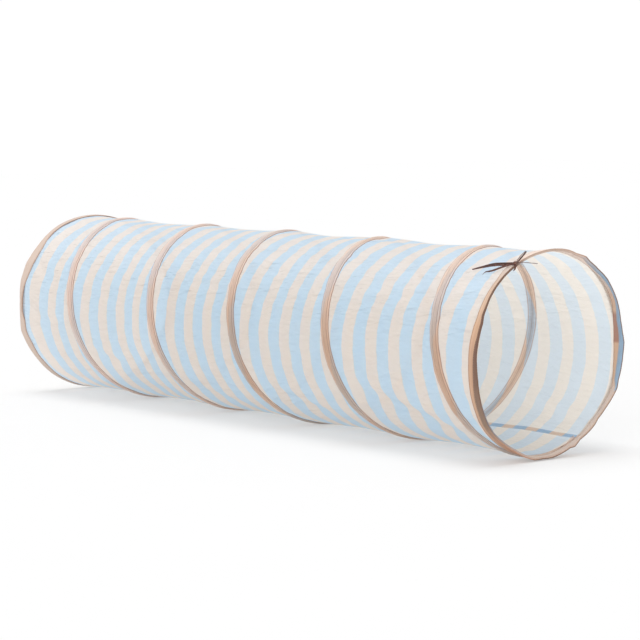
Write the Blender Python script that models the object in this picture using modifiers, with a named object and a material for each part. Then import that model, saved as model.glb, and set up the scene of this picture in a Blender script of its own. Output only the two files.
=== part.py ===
"""Pop-up play tunnel for children: a striped fabric tube held open by one long wire spring.

The spring is a single wire. It closes into a hoop at each end and runs as a helix of five
turns between them. A tape casing is sewn over the helix on the outside of the fabric, a
folded tape hem holds the hoop at each end, and a ribbon is tied in a bow on the front hem.

Metres, +Z up. The tunnel lies along X with its front, the end with the bow, at +X.
It rests on the plane z = 0, and the origin is below its middle.
"""

import math

import bmesh
import bpy
from mathutils import Matrix, Vector

# Driving dimensions of the tunnel
TUNNEL_LENGTH = 1.800
TUNNEL_DIAMETER = 0.465
TURNS = 5
FACETS = 32
GAP = 0.0003

# Spring wire and the crimped ferrules that close its end hoops
WIRE_DIAMETER = 0.0022
WIRE_SIDE_GAP = 0.0005
FERRULE_WALL = 0.0005
FERRULE_LENGTH = 0.026
WIRE_TAIL = 0.006
HOOP_BLEND_STATIONS = 3

# The middle turns stand a little towards the back, as the slack fabric lets them
SLACK_SHIFT = 0.024
SLACK_FIRST_TURN = 1.7
SLACK_TURNS = 3.0

# Cloth and tape
FABRIC_THICKNESS = 0.0010
TAPE_THICKNESS = 0.0008
CASING_WIDTH = 0.0286
CASING_RIDGE_BASE = 0.0104
CASING_RIDGE_TOP = 0.0052
BACK_HEM_WIDTH = 0.018
FRONT_HEM_WIDTH = 0.0305
WAIST_DEPTH = 0.0045
SEAM_WIDTH = 0.0115

# Ribbon bow on the front hem
RIBBON_WIDTH = 0.0060
RIBBON_THICKNESS = 0.0006
KNOT_LENGTH = 0.0150
KNOT_HEIGHT = 0.0090
KNOT_DEPTH = 0.0080
KNOT_INSET = 0.0010
LOOP_LENGTH = 0.105
LOOP_OPENING = 0.0080
LOOP_SPLAY = 0.038
TAIL_REACH = 0.056
TAIL_SPLAY = 0.052
SHORT_LOOP_LENGTH = 0.030
SHORT_LOOP_RISE = 0.0124
STRAY_TAIL_LENGTH = 0.060
KNOT_ANGLE = math.radians(118.5)

# The bow's lines, as shares of the knot's depth, a loop's or tail's sizes and the ribbon's width
KNOT_BEVEL_SHARE = 0.25
LOOP_AHEAD_SHARE = 0.35
SHORT_LOOP_AHEAD_SHARE = 0.50
TAIL_AHEAD_SHARE = 0.80
LOOP_RIM_SHARES = (1.0, 0.25)
LOOP_BACK_SHARES = ((0.06, 0.50, 0.90), (0.50, 0.64, 0.87), (0.80, 0.86, 0.84), (1.0, 1.0, 0.80))
LOOP_HALF_SHARES = (0.11, 0.11, 0.17, 0.50, 0.33, 0.0)
TAIL_RIM_SHARES = (2.0, 0.35)
TAIL_BACK_SHARES = ((0.11, 0.62, 0.95), (0.60, 0.80, 0.88), (1.0, 1.0, 0.82))
SHORT_LOOP_SHARES = ((0.005, -0.10), (0.45, 0.25), (0.80, 0.68), (1.0, 1.0))
SHORT_LOOP_HALF_SHARES = (0.11, 0.20, 0.16, 0.0)
STRAY_TAIL_DROP_SHARE = 0.25
STRAY_TAIL_SAG_SHARE = 1.5

# Share of a narrow bay that lies flat along each edge
NARROW_FLAT_SHARE = 1 / 3

# Places around the tunnel, counted in facets from the facet that lies on the floor
STEP = 2 * math.pi / FACETS
FLOOR_ANGLE = math.radians(270)
HELIX_START_STATION = 4
SEAM_STATION = 3

# Worked-out radii, each to the middle of a facet
OUTER_RADIUS = TUNNEL_DIAMETER / 2
WIRE_RADIUS = WIRE_DIAMETER / 2
FERRULE_REACH = WIRE_RADIUS + GAP + FERRULE_WALL
WIRE_LINE_RADIUS = OUTER_RADIUS - TAPE_THICKNESS - GAP - FERRULE_REACH
FABRIC_OUTER_RADIUS = WIRE_LINE_RADIUS - WIRE_RADIUS - GAP
FABRIC_INNER_RADIUS = FABRIC_OUTER_RADIUS - FABRIC_THICKNESS
FLANGE_RADIUS = FABRIC_OUTER_RADIUS + GAP + TAPE_THICKNESS
HEM_INNER_RADIUS = FABRIC_INNER_RADIUS - GAP - TAPE_THICKNESS

# Worked-out places along the tunnel, counted from its back face
PITCH = TUNNEL_LENGTH / TURNS
STATION_PITCH = PITCH / FACETS
HOOP_X = TAPE_THICKNESS + GAP + FERRULE_REACH
WIRE_PAIR_PITCH = WIRE_DIAMETER + WIRE_SIDE_GAP
LEAVING_X = HOOP_X + WIRE_PAIR_PITCH
FABRIC_EDGE_X = LEAVING_X + FERRULE_REACH + GAP
BOW_PROUD = GAP + KNOT_DEPTH
BACK_FACE_X = -(TUNNEL_LENGTH + BOW_PROUD) / 2


def srgb(red, green, blue):
    """Linear colour of an 8-bit screen colour."""
    def channel(value):
        share = value / 255
        return share / 12.92 if share <= 0.04045 else ((share + 0.055) / 1.055) ** 2.4
    return (channel(red), channel(green), channel(blue), 1.0)


def material(name, colour, roughness, metallic=0.0):
    """Principled material with a plain colour."""
    made = bpy.data.materials.new(name)
    made.use_nodes = True
    shader = made.node_tree.nodes["Principled BSDF"]
    shader.inputs["Base Color"].default_value = colour
    shader.inputs["Roughness"].default_value = roughness
    shader.inputs["Metallic"].default_value = metallic
    made.diffuse_color = colour
    return made


def collection(name):
    """New collection in the scene."""
    made = bpy.data.collections.new(name)
    bpy.context.scene.collection.children.link(made)
    return made


def station_angle(station):
    """Angle about the tunnel's axis, from +Y towards +Z. Station 0 starts the floor facet."""
    return FLOOR_ANGLE + STEP * (station - 0.5)


def station_point(station, x, radius):
    """Corner of a facet at a whole station, or a point along the facet between two of them."""
    first = math.floor(station)
    share = station - first
    corner_radius = radius / math.cos(STEP / 2)
    ends = []
    for whole in (first, first + 1):
        angle = station_angle(whole)
        ends.append(Vector((BACK_FACE_X + x,
                            corner_radius * math.cos(angle),
                            OUTER_RADIUS + corner_radius * math.sin(angle))))
    return ends[0].lerp(ends[1], share)


def wheel_matrix(station, x, radius):
    """Frame on a facet: local X along the tunnel, local Y outwards, local Z round the tunnel."""
    angle = station_angle(station)
    outward = Vector((0, math.cos(angle), math.sin(angle)))
    around = Vector((0, -math.sin(angle), math.cos(angle)))
    place = Vector((BACK_FACE_X + x, 0, OUTER_RADIUS)) + outward * radius
    matrix = Matrix((Vector((1, 0, 0)), outward, around)).transposed().to_4x4()
    matrix.translation = place
    return matrix


def slack(turn):
    """Shift of the helix at a turn count, towards the back."""
    share = (turn - SLACK_FIRST_TURN) / SLACK_TURNS
    return SLACK_SHIFT * math.sin(math.pi * share) ** 2 if 0 < share < 1 else 0.0


def wire_x_from_end(station):
    """Place along the tunnel of the wire near the end it starts from, at a station count.

    The wire runs round the hoop, steps aside over a few stations, passes its own start
    in the ferrule and then climbs in a parabola that meets the helix line with its slope.
    """
    if station <= -HOOP_BLEND_STATIONS:
        return HOOP_X
    if station < 0:
        share = 1 + station / HOOP_BLEND_STATIONS
        return HOOP_X + WIRE_PAIR_PITCH * share * share * (3 - 2 * share)
    climb_stations = 2 * (LEAVING_X / STATION_PITCH + HELIX_START_STATION - 1)
    if station <= 1:
        return LEAVING_X
    if station < 1 + climb_stations:
        return LEAVING_X + STATION_PITCH * (station - 1) ** 2 / (2 * climb_stations)
    return STATION_PITCH * (station - HELIX_START_STATION)


def mirrored_station(station):
    """The same place counted from the front end, where the helix ends as it starts."""
    return 2 * HELIX_START_STATION + TURNS * FACETS - station


def wire_x(station):
    """Place along the tunnel of the wire's centre line at any station count."""
    turn = (station - HELIX_START_STATION) / FACETS
    if turn < TURNS / 2:
        return wire_x_from_end(station) - slack(turn)
    return TUNNEL_LENGTH - wire_x_from_end(mirrored_station(station)) - slack(turn)


def edge_x(edge, station):
    """Edge of a fabric bay: edge 0 and the last are straight, the others follow the helix."""
    front_edge_x = TUNNEL_LENGTH - FABRIC_EDGE_X
    if edge == 0:
        return FABRIC_EDGE_X
    if edge > TURNS:
        return front_edge_x
    along = wire_x(station + (edge - 1) * FACETS)
    return min(max(along, FABRIC_EDGE_X), front_edge_x)


def mesh_object(name, mesh, group, finish):
    """Object for a mesh, in its collection and with its material."""
    made = bpy.data.objects.new(name, mesh)
    group.objects.link(made)
    mesh.materials.append(finish)
    return made


def bent_grid(name, columns, rows, place, group, finish):
    """Open sheet: a flat grid whose corner at column and row is moved to place(column, row)."""
    shape = bmesh.new()
    bmesh.ops.create_grid(shape, x_segments=columns, y_segments=rows, size=1)
    for corner in shape.verts:
        column = round((corner.co.x + 1) / 2 * columns)
        row = round((corner.co.y + 1) / 2 * rows)
        corner.co = place(column, row)
    mesh = bpy.data.meshes.new(name)
    shape.to_mesh(mesh)
    shape.free()
    return mesh_object(name, mesh, group, finish)


def thicken(sheet, thickness, offset=-1):
    """Solidify modifier that grows the sheet inwards, or to both sides with offset 0."""
    solid = sheet.modifiers.new("thickness", 'SOLIDIFY')
    solid.thickness = thickness
    solid.offset = offset
    solid.use_even_offset = True
    solid.use_quality_normals = True


def bay_rows(bay, station):
    """Distances along the tunnel and radii of a bay's rows at a station.

    The cloth lies flat under the tapes along both edges and is drawn in between them,
    deeper where the wires stand further apart.
    """
    back = edge_x(bay, station) + GAP / 2
    front = edge_x(bay + 1, station) - GAP / 2
    width = front - back
    flat = min(CASING_WIDTH / 2, width * NARROW_FLAT_SHARE)
    depth = WAIST_DEPTH * min(1, width / PITCH) ** 2
    middle = (back + front) / 2
    return [(back, FABRIC_OUTER_RADIUS),
            (back + flat, FABRIC_OUTER_RADIUS),
            (middle, FABRIC_OUTER_RADIUS - depth),
            (front - flat, FABRIC_OUTER_RADIUS),
            (front, FABRIC_OUTER_RADIUS)]


def bay_stations(bay):
    """First and last station of a bay. The end bays leave out the tip inside the hem."""
    first = SEAM_STATION
    last = SEAM_STATION + FACETS
    while edge_x(bay + 1, first) - edge_x(bay, first) < FERRULE_WALL:
        first += 1
    while edge_x(bay + 1, last) - edge_x(bay, last) < FERRULE_WALL:
        last -= 1
    return first, last


def fabric_bay(name, bay, group, finish):
    """One bay of the fabric tube, from the wire behind it to the wire before it."""
    first, last = bay_stations(bay)
    seam_share = GAP / (2 * STEP * FABRIC_OUTER_RADIUS)

    def place(column, row):
        station = first + column
        x, radius = bay_rows(bay, station)[row]
        inset = seam_share if column == 0 else -seam_share if station == last else 0
        return station_point(station + inset, x, radius)

    thicken(bent_grid(name, last - first, 4, place, group, finish), FABRIC_THICKNESS)


def seam_allowance(name, bay, group, finish):
    """Strip of the lengthwise seam, folded to one side of it inside the tunnel."""
    start = SEAM_STATION
    end = SEAM_STATION + SEAM_WIDTH / (STEP * FABRIC_INNER_RADIUS)
    low = BACK_HEM_WIDTH + GAP
    high = TUNNEL_LENGTH - FRONT_HEM_WIDTH - GAP
    drop = FABRIC_THICKNESS + GAP

    def place(column, row):
        corners = []
        for station in (SEAM_STATION, SEAM_STATION + 1):
            x, radius = bay_rows(bay, station)[row]
            x += GAP / 2 if row == 0 else -GAP / 2 if row == 4 else 0
            x = min(max(x, low + FABRIC_THICKNESS * row), high - FABRIC_THICKNESS * (4 - row))
            corners.append(station_point(station, x, radius - drop))
        return corners[0].lerp(corners[1], (end if column else start) - SEAM_STATION)

    thicken(bent_grid(name, 1, 4, place, group, finish), FABRIC_THICKNESS)


def box_cutter(name, low_x, high_x, group):
    """Block that clears the space of a hem, as a guide that is never part of the tunnel."""
    shape = bmesh.new()
    bmesh.ops.create_cube(shape, size=1)
    width = 2 * TUNNEL_DIAMETER
    bmesh.ops.scale(shape, verts=shape.verts, vec=(high_x - low_x, width, width))
    mesh = bpy.data.meshes.new(name)
    shape.to_mesh(mesh)
    shape.free()
    cutter = bpy.data.objects.new(name, mesh)
    cutter.location = (BACK_FACE_X + (low_x + high_x) / 2, 0, OUTER_RADIUS)
    cutter.hide_render = True
    cutter.display_type = 'WIRE'
    group.objects.link(cutter)
    return cutter


def casing_turn(name, turn, group, finish, cutters):
    """One turn of the tape that is sewn over the spring wire on the outside."""
    flange = CASING_WIDTH / 2
    base = CASING_RIDGE_BASE / 2
    top = CASING_RIDGE_TOP / 2
    section = [(-flange, FLANGE_RADIUS), (-base, FLANGE_RADIUS), (-top, OUTER_RADIUS),
               (top, OUTER_RADIUS), (base, FLANGE_RADIUS), (flange, FLANGE_RADIUS)]
    end_share = GAP / (2 * STEP * OUTER_RADIUS)

    def place(column, row):
        across, radius = section[row]
        station = SEAM_STATION + (turn - 1) * FACETS + column
        inset = end_share if column == 0 else -end_share if column == FACETS else 0
        return station_point(station + inset, wire_x(station) + across, radius)

    tape = bent_grid(name, FACETS, len(section) - 1, place, group, finish)
    thicken(tape, TAPE_THICKNESS)
    for cutter in cutters:
        cut = tape.modifiers.new("hem clearance", 'BOOLEAN')
        cut.operation = 'DIFFERENCE'
        cut.object = cutter


def hem(name, at_front, group, finish):
    """Tape folded round the fabric's edge and the spring's end hoop, turned about the axis."""
    corner = 1 / math.cos(STEP / 2)
    fold = TUNNEL_LENGTH if at_front else 0.0
    mouth = TUNNEL_LENGTH - FRONT_HEM_WIDTH if at_front else BACK_HEM_WIDTH
    outline = [(OUTER_RADIUS, mouth), (OUTER_RADIUS, fold),
               (HEM_INNER_RADIUS, fold), (HEM_INNER_RADIUS, mouth)]
    if at_front:
        outline.reverse()
    mesh = bpy.data.meshes.new(name)
    mesh.from_pydata([(radius * corner, 0, x) for radius, x in outline],
                     [(0, 1), (1, 2), (2, 3)], [])
    ring = mesh_object(name, mesh, group, finish)
    angle = station_angle(0)
    outward = Vector((0, math.cos(angle), math.sin(angle)))
    around = Vector((0, -math.sin(angle), math.cos(angle)))
    turned = Matrix((outward, around, Vector((1, 0, 0)))).transposed().to_4x4()
    turned.translation = (BACK_FACE_X, 0, OUTER_RADIUS)
    ring.matrix_world = turned
    screw = ring.modifiers.new("turn", 'SCREW')
    screw.axis = 'Z'
    screw.angle = 2 * math.pi
    screw.steps = FACETS
    screw.render_steps = FACETS
    screw.use_merge_vertices = True
    screw.merge_threshold = 0.00001
    thicken(ring, TAPE_THICKNESS)


def spring_path():
    """Centre line of the whole wire: back hoop, helix, front hoop."""
    tail_share = 0.5 - (FERRULE_LENGTH / 2 + WIRE_TAIL) / (STEP * WIRE_LINE_RADIUS)
    first = tail_share - FACETS
    last = mirrored_station(first)
    whole = range(math.floor(first) + 1, math.ceil(last))
    stations = [first] + list(whole) + [last]
    return [station_point(station, wire_x(station), WIRE_LINE_RADIUS) for station in stations]


def least_self_gap(path, radius):
    """Smallest clear distance between stretches of the wire that aren't neighbours."""
    least = TUNNEL_LENGTH
    apart = FACETS // 2
    for index, start in enumerate(path[:-1]):
        along = path[index + 1] - start
        for point in path[index + apart:]:
            share = (point - start).dot(along) / along.length_squared
            nearest = start + along * min(max(share, 0), 1)
            least = min(least, (point - nearest).length - 2 * radius)
    return least


def spring_wire(name, group, finish):
    """The spring as one unbroken tube."""
    path = spring_path()
    curve = bpy.data.curves.new(name, 'CURVE')
    curve.dimensions = '3D'
    curve.bevel_depth = WIRE_RADIUS
    curve.bevel_resolution = 1
    curve.use_fill_caps = True
    curve.twist_mode = 'MINIMUM'
    line = curve.splines.new('POLY')
    line.points.add(len(path) - 1)
    for point, place in zip(line.points, path):
        point.co = (*place, 1)
    made = bpy.data.objects.new(name, curve)
    curve.materials.append(finish)
    group.objects.link(made)
    clear = least_self_gap(path, WIRE_RADIUS)
    print(f"least gap of the spring wire to itself: {clear * 1000:.2f} mm")


def oval(curve, half_length, radius, corners=6):
    """Closed outline with two straight sides and round ends, added to a flat curve."""
    line = curve.splines.new('POLY')
    places = []
    for side in (1, -1):
        for corner in range(corners + 1):
            angle = math.pi * (corner / corners - 0.5)
            places.append((side * (half_length + radius * math.cos(angle)),
                           side * radius * math.sin(angle)))
    line.points.add(len(places) - 1)
    for point, (x, y) in zip(line.points, places):
        point.co = (x, y, 0, 1)
    line.use_cyclic_u = True


def ferrule(name, station, x, group, finish):
    """Oval metal sleeve, crimped over the wire's end and the turn beside it."""
    curve = bpy.data.curves.new(name, 'CURVE')
    curve.dimensions = '2D'
    curve.fill_mode = 'BOTH'
    curve.extrude = FERRULE_LENGTH / 2
    oval(curve, WIRE_PAIR_PITCH / 2, FERRULE_REACH)
    oval(curve, WIRE_PAIR_PITCH / 2, WIRE_RADIUS + GAP)
    made = bpy.data.objects.new(name, curve)
    curve.materials.append(finish)
    group.objects.link(made)
    made.matrix_world = wheel_matrix(station, x, WIRE_LINE_RADIUS)


def bow_point(ahead, around, rise):
    """Point near the knot: ahead of the front face, round from the knot, over the ridge radius."""
    angle = KNOT_ANGLE + around / OUTER_RADIUS
    radius = OUTER_RADIUS + rise
    return Vector((BACK_FACE_X + TUNNEL_LENGTH + ahead,
                   radius * math.cos(angle), OUTER_RADIUS + radius * math.sin(angle)))


def smooth_route(stops, steps):
    """Points on a smooth curve through the stops, evenly many between each two."""
    route = []
    for index in range(len(stops) - 1):
        before = stops[max(index - 1, 0)]
        start, end = stops[index], stops[index + 1]
        after = stops[min(index + 2, len(stops) - 1)]
        for step in range(steps):
            share = step / steps
            square, cube = share * share, share ** 3
            route.append(start * (2 * cube - 3 * square + 1) + end * (3 * square - 2 * cube)
                         + (end - before) * (cube - 2 * square + share) / 2
                         + (after - start) * (cube - square) / 2)
    route.append(stops[-1])
    return route


def ribbon(name, route, across, group, finish):
    """Flat ribbon along a route, its width along the direction given."""
    half = across * (RIBBON_WIDTH / 2)

    def place(column, row):
        return route[column] + (half if row else -half)

    thicken(bent_grid(name, len(route) - 1, 1, place, group, finish), RIBBON_THICKNESS, 0)


def leaf_route(middle, halves, across, steps):
    """Out along one side of a pointed loop and back along the other, round its middle line."""
    out, back = [], []
    for index, (place, half) in enumerate(zip(middle, halves)):
        before = middle[max(index - 1, 0)]
        after = middle[min(index + 1, len(middle) - 1)]
        side = (after - before).cross(across).normalized() * half
        out.append(place + side)
        back.append(place - side)
    return smooth_route(out[:-1] + [middle[-1]] + back[-2::-1], steps)


def bow_knot(group, finish):
    """Knot of the bow, against the front face of the hem."""
    outward = Vector((0, math.cos(KNOT_ANGLE), math.sin(KNOT_ANGLE)))
    around = Vector((0, -math.sin(KNOT_ANGLE), math.cos(KNOT_ANGLE)))
    shape = bmesh.new()
    bmesh.ops.create_cube(shape, size=1)
    bmesh.ops.scale(shape, verts=shape.verts, vec=(KNOT_LENGTH, KNOT_HEIGHT, KNOT_DEPTH))
    bmesh.ops.bevel(shape, geom=shape.edges[:], offset=KNOT_DEPTH * KNOT_BEVEL_SHARE, segments=2,
                    profile=0.5, affect='EDGES')
    mesh = bpy.data.meshes.new("bow_knot")
    shape.to_mesh(mesh)
    shape.free()
    knot = mesh_object("bow_knot", mesh, group, finish)
    turned = Matrix((-around, outward, Vector((1, 0, 0)))).transposed().to_4x4()
    turned.translation = bow_point(GAP + KNOT_DEPTH / 2, 0, -KNOT_INSET)
    knot.matrix_world = turned


def build_bow(group, finish):
    """The ribbon: its knot, a loop and a tail to each side."""
    bow_knot(group, finish)
    outward = Vector((0, math.cos(KNOT_ANGLE), math.sin(KNOT_ANGLE)))
    front = Vector((1, 0, 0))
    beside = KNOT_LENGTH / 2 + GAP

    # The long loop leans over the rim and lies back along the outside of the tunnel
    ahead = GAP + KNOT_DEPTH * LOOP_AHEAD_SHARE
    aside, rise = LOOP_RIM_SHARES
    middle = [bow_point(ahead, beside, -KNOT_INSET),
              bow_point(ahead, beside + RIBBON_WIDTH * aside, RIBBON_WIDTH * rise)]
    middle += [bow_point(-LOOP_LENGTH * back, LOOP_SPLAY * aside, RIBBON_WIDTH * rise)
               for back, aside, rise in LOOP_BACK_SHARES]
    halves = [LOOP_OPENING * share for share in LOOP_HALF_SHARES]
    ribbon("bow_loop_left", leaf_route(middle, halves, outward, 3), outward, group, finish)

    # Its tail hangs over the rim below the loop
    ahead = GAP + KNOT_DEPTH * TAIL_AHEAD_SHARE
    aside, rise = TAIL_RIM_SHARES
    stops = [bow_point(ahead, beside, -KNOT_INSET),
             bow_point(ahead, beside + RIBBON_WIDTH * aside, RIBBON_WIDTH * rise)]
    stops += [bow_point(-TAIL_REACH * back, TAIL_SPLAY * aside, RIBBON_WIDTH * rise)
              for back, aside, rise in TAIL_BACK_SHARES]
    ribbon("bow_tail_left", smooth_route(stops, 3), outward, group, finish)

    # The short loop stands up along the rim, and the stray tail points across the opening
    ahead = GAP + KNOT_DEPTH * SHORT_LOOP_AHEAD_SHARE
    middle = [bow_point(ahead, -beside - SHORT_LOOP_LENGTH * aside, SHORT_LOOP_RISE * rise)
              for aside, rise in SHORT_LOOP_SHARES]
    halves = [LOOP_OPENING * share for share in SHORT_LOOP_HALF_SHARES]
    ribbon("bow_loop_right", leaf_route(middle, halves, front, 3), front, group, finish)

    start = bow_point(ahead, -beside, -KNOT_INSET - SHORT_LOOP_RISE * STRAY_TAIL_DROP_SHARE)
    end = start + Vector((0, STRAY_TAIL_LENGTH, 0))
    middle = start.lerp(end, 0.5) + outward * (RIBBON_THICKNESS * STRAY_TAIL_SAG_SHARE)
    ribbon("bow_tail_right", smooth_route([start, middle, end], 3), front, group, finish)


def build():
    """Clear the scene and make every piece of the tunnel."""
    for old in list(bpy.data.objects):
        bpy.data.objects.remove(old)
    tunnel = collection("play_tunnel")
    cutters = collection("cutters")

    cloth = material("striped_fabric", srgb(205, 218, 228), 0.85)
    seam = material("seam_fabric", srgb(178, 200, 220), 0.85)
    tape = material("tan_tape", srgb(205, 170, 144), 0.75)
    steel = material("spring_steel", srgb(150, 152, 155), 0.35, 1.0)
    zinc = material("ferrule_metal", srgb(190, 192, 195), 0.3, 1.0)
    brown = material("ribbon", srgb(112, 66, 46), 0.45)

    back_block = box_cutter("back_hem_space", -BACK_HEM_WIDTH, BACK_HEM_WIDTH + GAP, cutters)
    front_block = box_cutter("front_hem_space", TUNNEL_LENGTH - FRONT_HEM_WIDTH - GAP,
                             TUNNEL_LENGTH + FRONT_HEM_WIDTH, cutters)

    names = ["fabric_back_wedge"]
    names += [f"fabric_bay_{bay}" for bay in range(1, TURNS)]
    names += ["fabric_front_wedge"]
    for bay, name in enumerate(names):
        fabric_bay(name, bay, tunnel, cloth)
    for bay in range(1, TURNS + 1):
        seam_allowance(f"seam_allowance_{bay}", bay, tunnel, seam)
    for turn in range(1, TURNS + 1):
        blocks = [back_block] if turn == 1 else [front_block] if turn == TURNS else []
        casing_turn(f"casing_turn_{turn}", turn, tunnel, tape, blocks)
    hem("back_hem", False, tunnel, tape)
    hem("front_hem", True, tunnel, tape)

    spring_wire("spring_wire", tunnel, steel)
    pair_middle = HOOP_X + WIRE_PAIR_PITCH / 2
    ferrule("back_ferrule", 0.5, pair_middle, tunnel, zinc)
    front_station = mirrored_station(0.5)
    ferrule("front_ferrule", front_station, TUNNEL_LENGTH - pair_middle, tunnel, zinc)
    build_bow(tunnel, brown)


build()
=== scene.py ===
"""Looks of the pop-up play tunnel: cloth, tape casing, hems, spring, bow, camera and light.

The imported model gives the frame. Every soft piece is modelled here in full and stands for
its plain solid. Metres, +Z up, the tunnel along X with its front, the bow's end, at +X.
"""

import logging
import math
from dataclasses import dataclass, field
from enum import Enum

import bpy
import numpy as np
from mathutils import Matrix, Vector, noise


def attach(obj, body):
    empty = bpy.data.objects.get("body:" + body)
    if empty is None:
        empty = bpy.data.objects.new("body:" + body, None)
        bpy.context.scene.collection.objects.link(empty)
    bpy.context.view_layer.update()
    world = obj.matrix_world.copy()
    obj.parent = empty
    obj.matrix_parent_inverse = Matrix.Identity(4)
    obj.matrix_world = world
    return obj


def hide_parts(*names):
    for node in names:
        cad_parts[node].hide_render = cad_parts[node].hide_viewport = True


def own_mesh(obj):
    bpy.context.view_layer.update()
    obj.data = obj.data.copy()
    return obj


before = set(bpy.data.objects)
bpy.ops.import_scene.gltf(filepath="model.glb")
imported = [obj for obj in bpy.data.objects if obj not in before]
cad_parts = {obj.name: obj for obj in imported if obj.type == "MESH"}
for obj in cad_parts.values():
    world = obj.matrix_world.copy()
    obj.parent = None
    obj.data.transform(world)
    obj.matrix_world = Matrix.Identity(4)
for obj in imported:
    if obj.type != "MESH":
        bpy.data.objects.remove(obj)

logging.basicConfig(level=logging.INFO, format="%(message)s")
LOG = logging.getLogger("tunnel")

Array = np.ndarray
Numbers = float | np.ndarray
Stops = tuple[tuple[float, ...], ...]
Colour = tuple[float, float, float, float]
Piece = bpy.types.Object
Material = bpy.types.Material
Tree = bpy.types.NodeTree
Node = bpy.types.Node
Socket = bpy.types.NodeSocket
Value = Socket | float | Colour | None

MM = 0.001
FULL = 2 * math.pi
WHITE = (1.0, 1.0, 1.0, 1.0)
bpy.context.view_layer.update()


@dataclass(frozen=True)
class Tunnel:
    """Sizes of the tunnel and of its spring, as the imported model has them, in metres."""

    length: float = 1.800
    diameter: float = 0.465
    turns: int = 5
    facets: int = 32
    floor_angle: float = math.radians(270)
    helix_start_station: float = 4.0
    seam_station: float = 3.0
    back_face_x: float = -0.90415
    travel: float = 0.348
    wire_diameter: float = 0.0022
    wire_line_radius: float = 0.2295
    cloth_radius: float = 0.2283
    cloth_thickness: float = 0.0006
    hoop_x: float = 0.0030
    leaving_x: float = 0.0057
    cloth_edge_x: float = 0.0079
    front_tilt: float = 0.0118
    back_tilt: float = 0.0149
    tilt_reach: float = 0.100

    @property
    def radius(self) -> float:
        """Outer radius, to the top of the casing's ridge."""
        return self.diameter / 2

    @property
    def pitch(self) -> float:
        """Distance along the tunnel between two turns of the spring."""
        return self.length / self.turns

    @property
    def station_pitch(self) -> float:
        """Advance of the spring over one station."""
        return self.pitch / self.facets

    @property
    def last_station(self) -> float:
        """Station at which the helix ends, twice its start beyond the full turns."""
        return 2 * self.helix_start_station + self.turns * self.facets

    @property
    def seam_angle(self) -> float:
        """Angle of the lengthwise seam about the axis, from +Y towards +Z."""
        return self.station_angle(self.seam_station)

    @property
    def keep(self) -> float:
        """Share of its length that a turn keeps when the tunnel is flat."""
        return 1 - self.travel / self.pitch

    def station_angle(self, station: Numbers) -> Numbers:
        """Angle about the axis, in radians, of a count of facets from the one on the floor."""
        return self.floor_angle + FULL * (station - 0.5) / self.facets

    def station_of(self, angle: Numbers) -> Numbers:
        """Station of an angle, the inverse of station_angle."""
        return (angle - self.floor_angle) * self.facets / FULL + 0.5


TUNNEL = Tunnel()


def smooth_step(share: Numbers) -> Numbers:
    """Rises from 0 to 1 with level ends while the share does, and is held outside."""
    held = np.clip(share, 0, 1)
    return held * held * (3 - 2 * held)


def eased(stops: Stops, places: Array) -> Array:
    """Smooth curve with level stops, for slow drifts.

    Args:
        stops: pairs of place and value.
        places: array of places.

    Returns:
        The values there.
    """
    table = np.asarray(stops, float)
    index = np.clip(np.searchsorted(table[:, 0], places) - 1, 0, len(table) - 2)
    low, high = table[index], table[index + 1]
    share = smooth_step((places - low[..., 0]) / (high[..., 0] - low[..., 0]))
    return low[..., 1] + (high[..., 1] - low[..., 1]) * share


def linear(stops: Stops, places: Array, period: float | None = None) -> Array:
    """Values at places on straight lines between stops, over and over with a period."""
    table = np.asarray(stops, float)
    return np.interp(places, table[:, 0], table[:, 1], period=period)


def round_table(stops: Stops, angles: Array) -> Array:
    """Values round the rim at angles in radians, from a table in degrees."""
    return linear(stops, np.degrees(angles) % 360, 360)


@dataclass(frozen=True)
class Unevenness:
    """Smooth noise over the tunnel, the same again after a full turn.

    Its own units go by metres along the tunnel and by radii round it.
    """

    along: float
    around: float
    seed: int
    steps: tuple[float, float, float] = (17.31, 5.73, 9.17)

    def at(self, x: Array, angle: Array) -> Array:
        """Values of the noise.

        Args:
            x: places along the tunnel in metres.
            angle: angles in radians.

        Returns:
            Values from about -1 to 1.
        """
        shift = Vector([self.seed * step for step in self.steps])
        places = np.stack([x * self.along, np.cos(angle) * self.around,
                           np.sin(angle) * self.around], axis=-1)
        values = [noise.noise(Vector(place) + shift) for place in places.reshape(-1, 3)]
        return np.array(values).reshape(places.shape[:-1])


def over_rows(values: Array, rows: int) -> Array:
    """Repeats one value for each column over a number of rows."""
    return np.repeat(values[:, None], rows, axis=1)


def unit(vectors: Array) -> Array:
    """Vectors brought to length 1."""
    return vectors / np.linalg.norm(vectors, axis=-1)[..., None]


def line_frame(line: Array, outward: Array) -> tuple[Array, Array, Array]:
    """Directions that go along with a line.

    Args:
        line: its points.
        outward: rough outward direction at each point.

    Returns:
        Unit vectors ahead, outward and to the side of it.
    """
    ahead = unit(np.gradient(line, axis=0))
    outward = unit(outward - ahead * np.sum(outward * ahead, axis=1)[:, None])
    return ahead, outward, np.cross(ahead, outward)


def link(name: str, data: bpy.types.ID) -> Piece:
    """Makes an object and adds it to the scene.

    Args:
        name: its name.
        data: its mesh, lamp or camera.

    Returns:
        The object.
    """
    made = bpy.data.objects.new(name, data)
    bpy.context.scene.collection.objects.link(made)
    return made


def settle(piece: Piece, body: str, node: str, turn: int | None = None) -> Piece:
    """Ties a finished piece to its body and hides the plain solid that it stands for.

    Args:
        piece: the object.
        body: the body it rides on.
        node: the plain solid.
        turn: None keeps the shared mesh; any other value gives the piece a mesh of its own.

    Returns:
        The object.
    """
    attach(piece, body)
    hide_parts(node)
    if turn is not None:
        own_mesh(piece)
    return piece


# How far the turns of the spring stand from an even spacing, by turn count, in millimetres
WIRE_DRIFT = ((0.0, 0), (0.9, 0), (1.64, 1), (2.64, -24), (3.2, -24), (3.64, -20), (4.64, 4),
              (5.0, 0))

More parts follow.
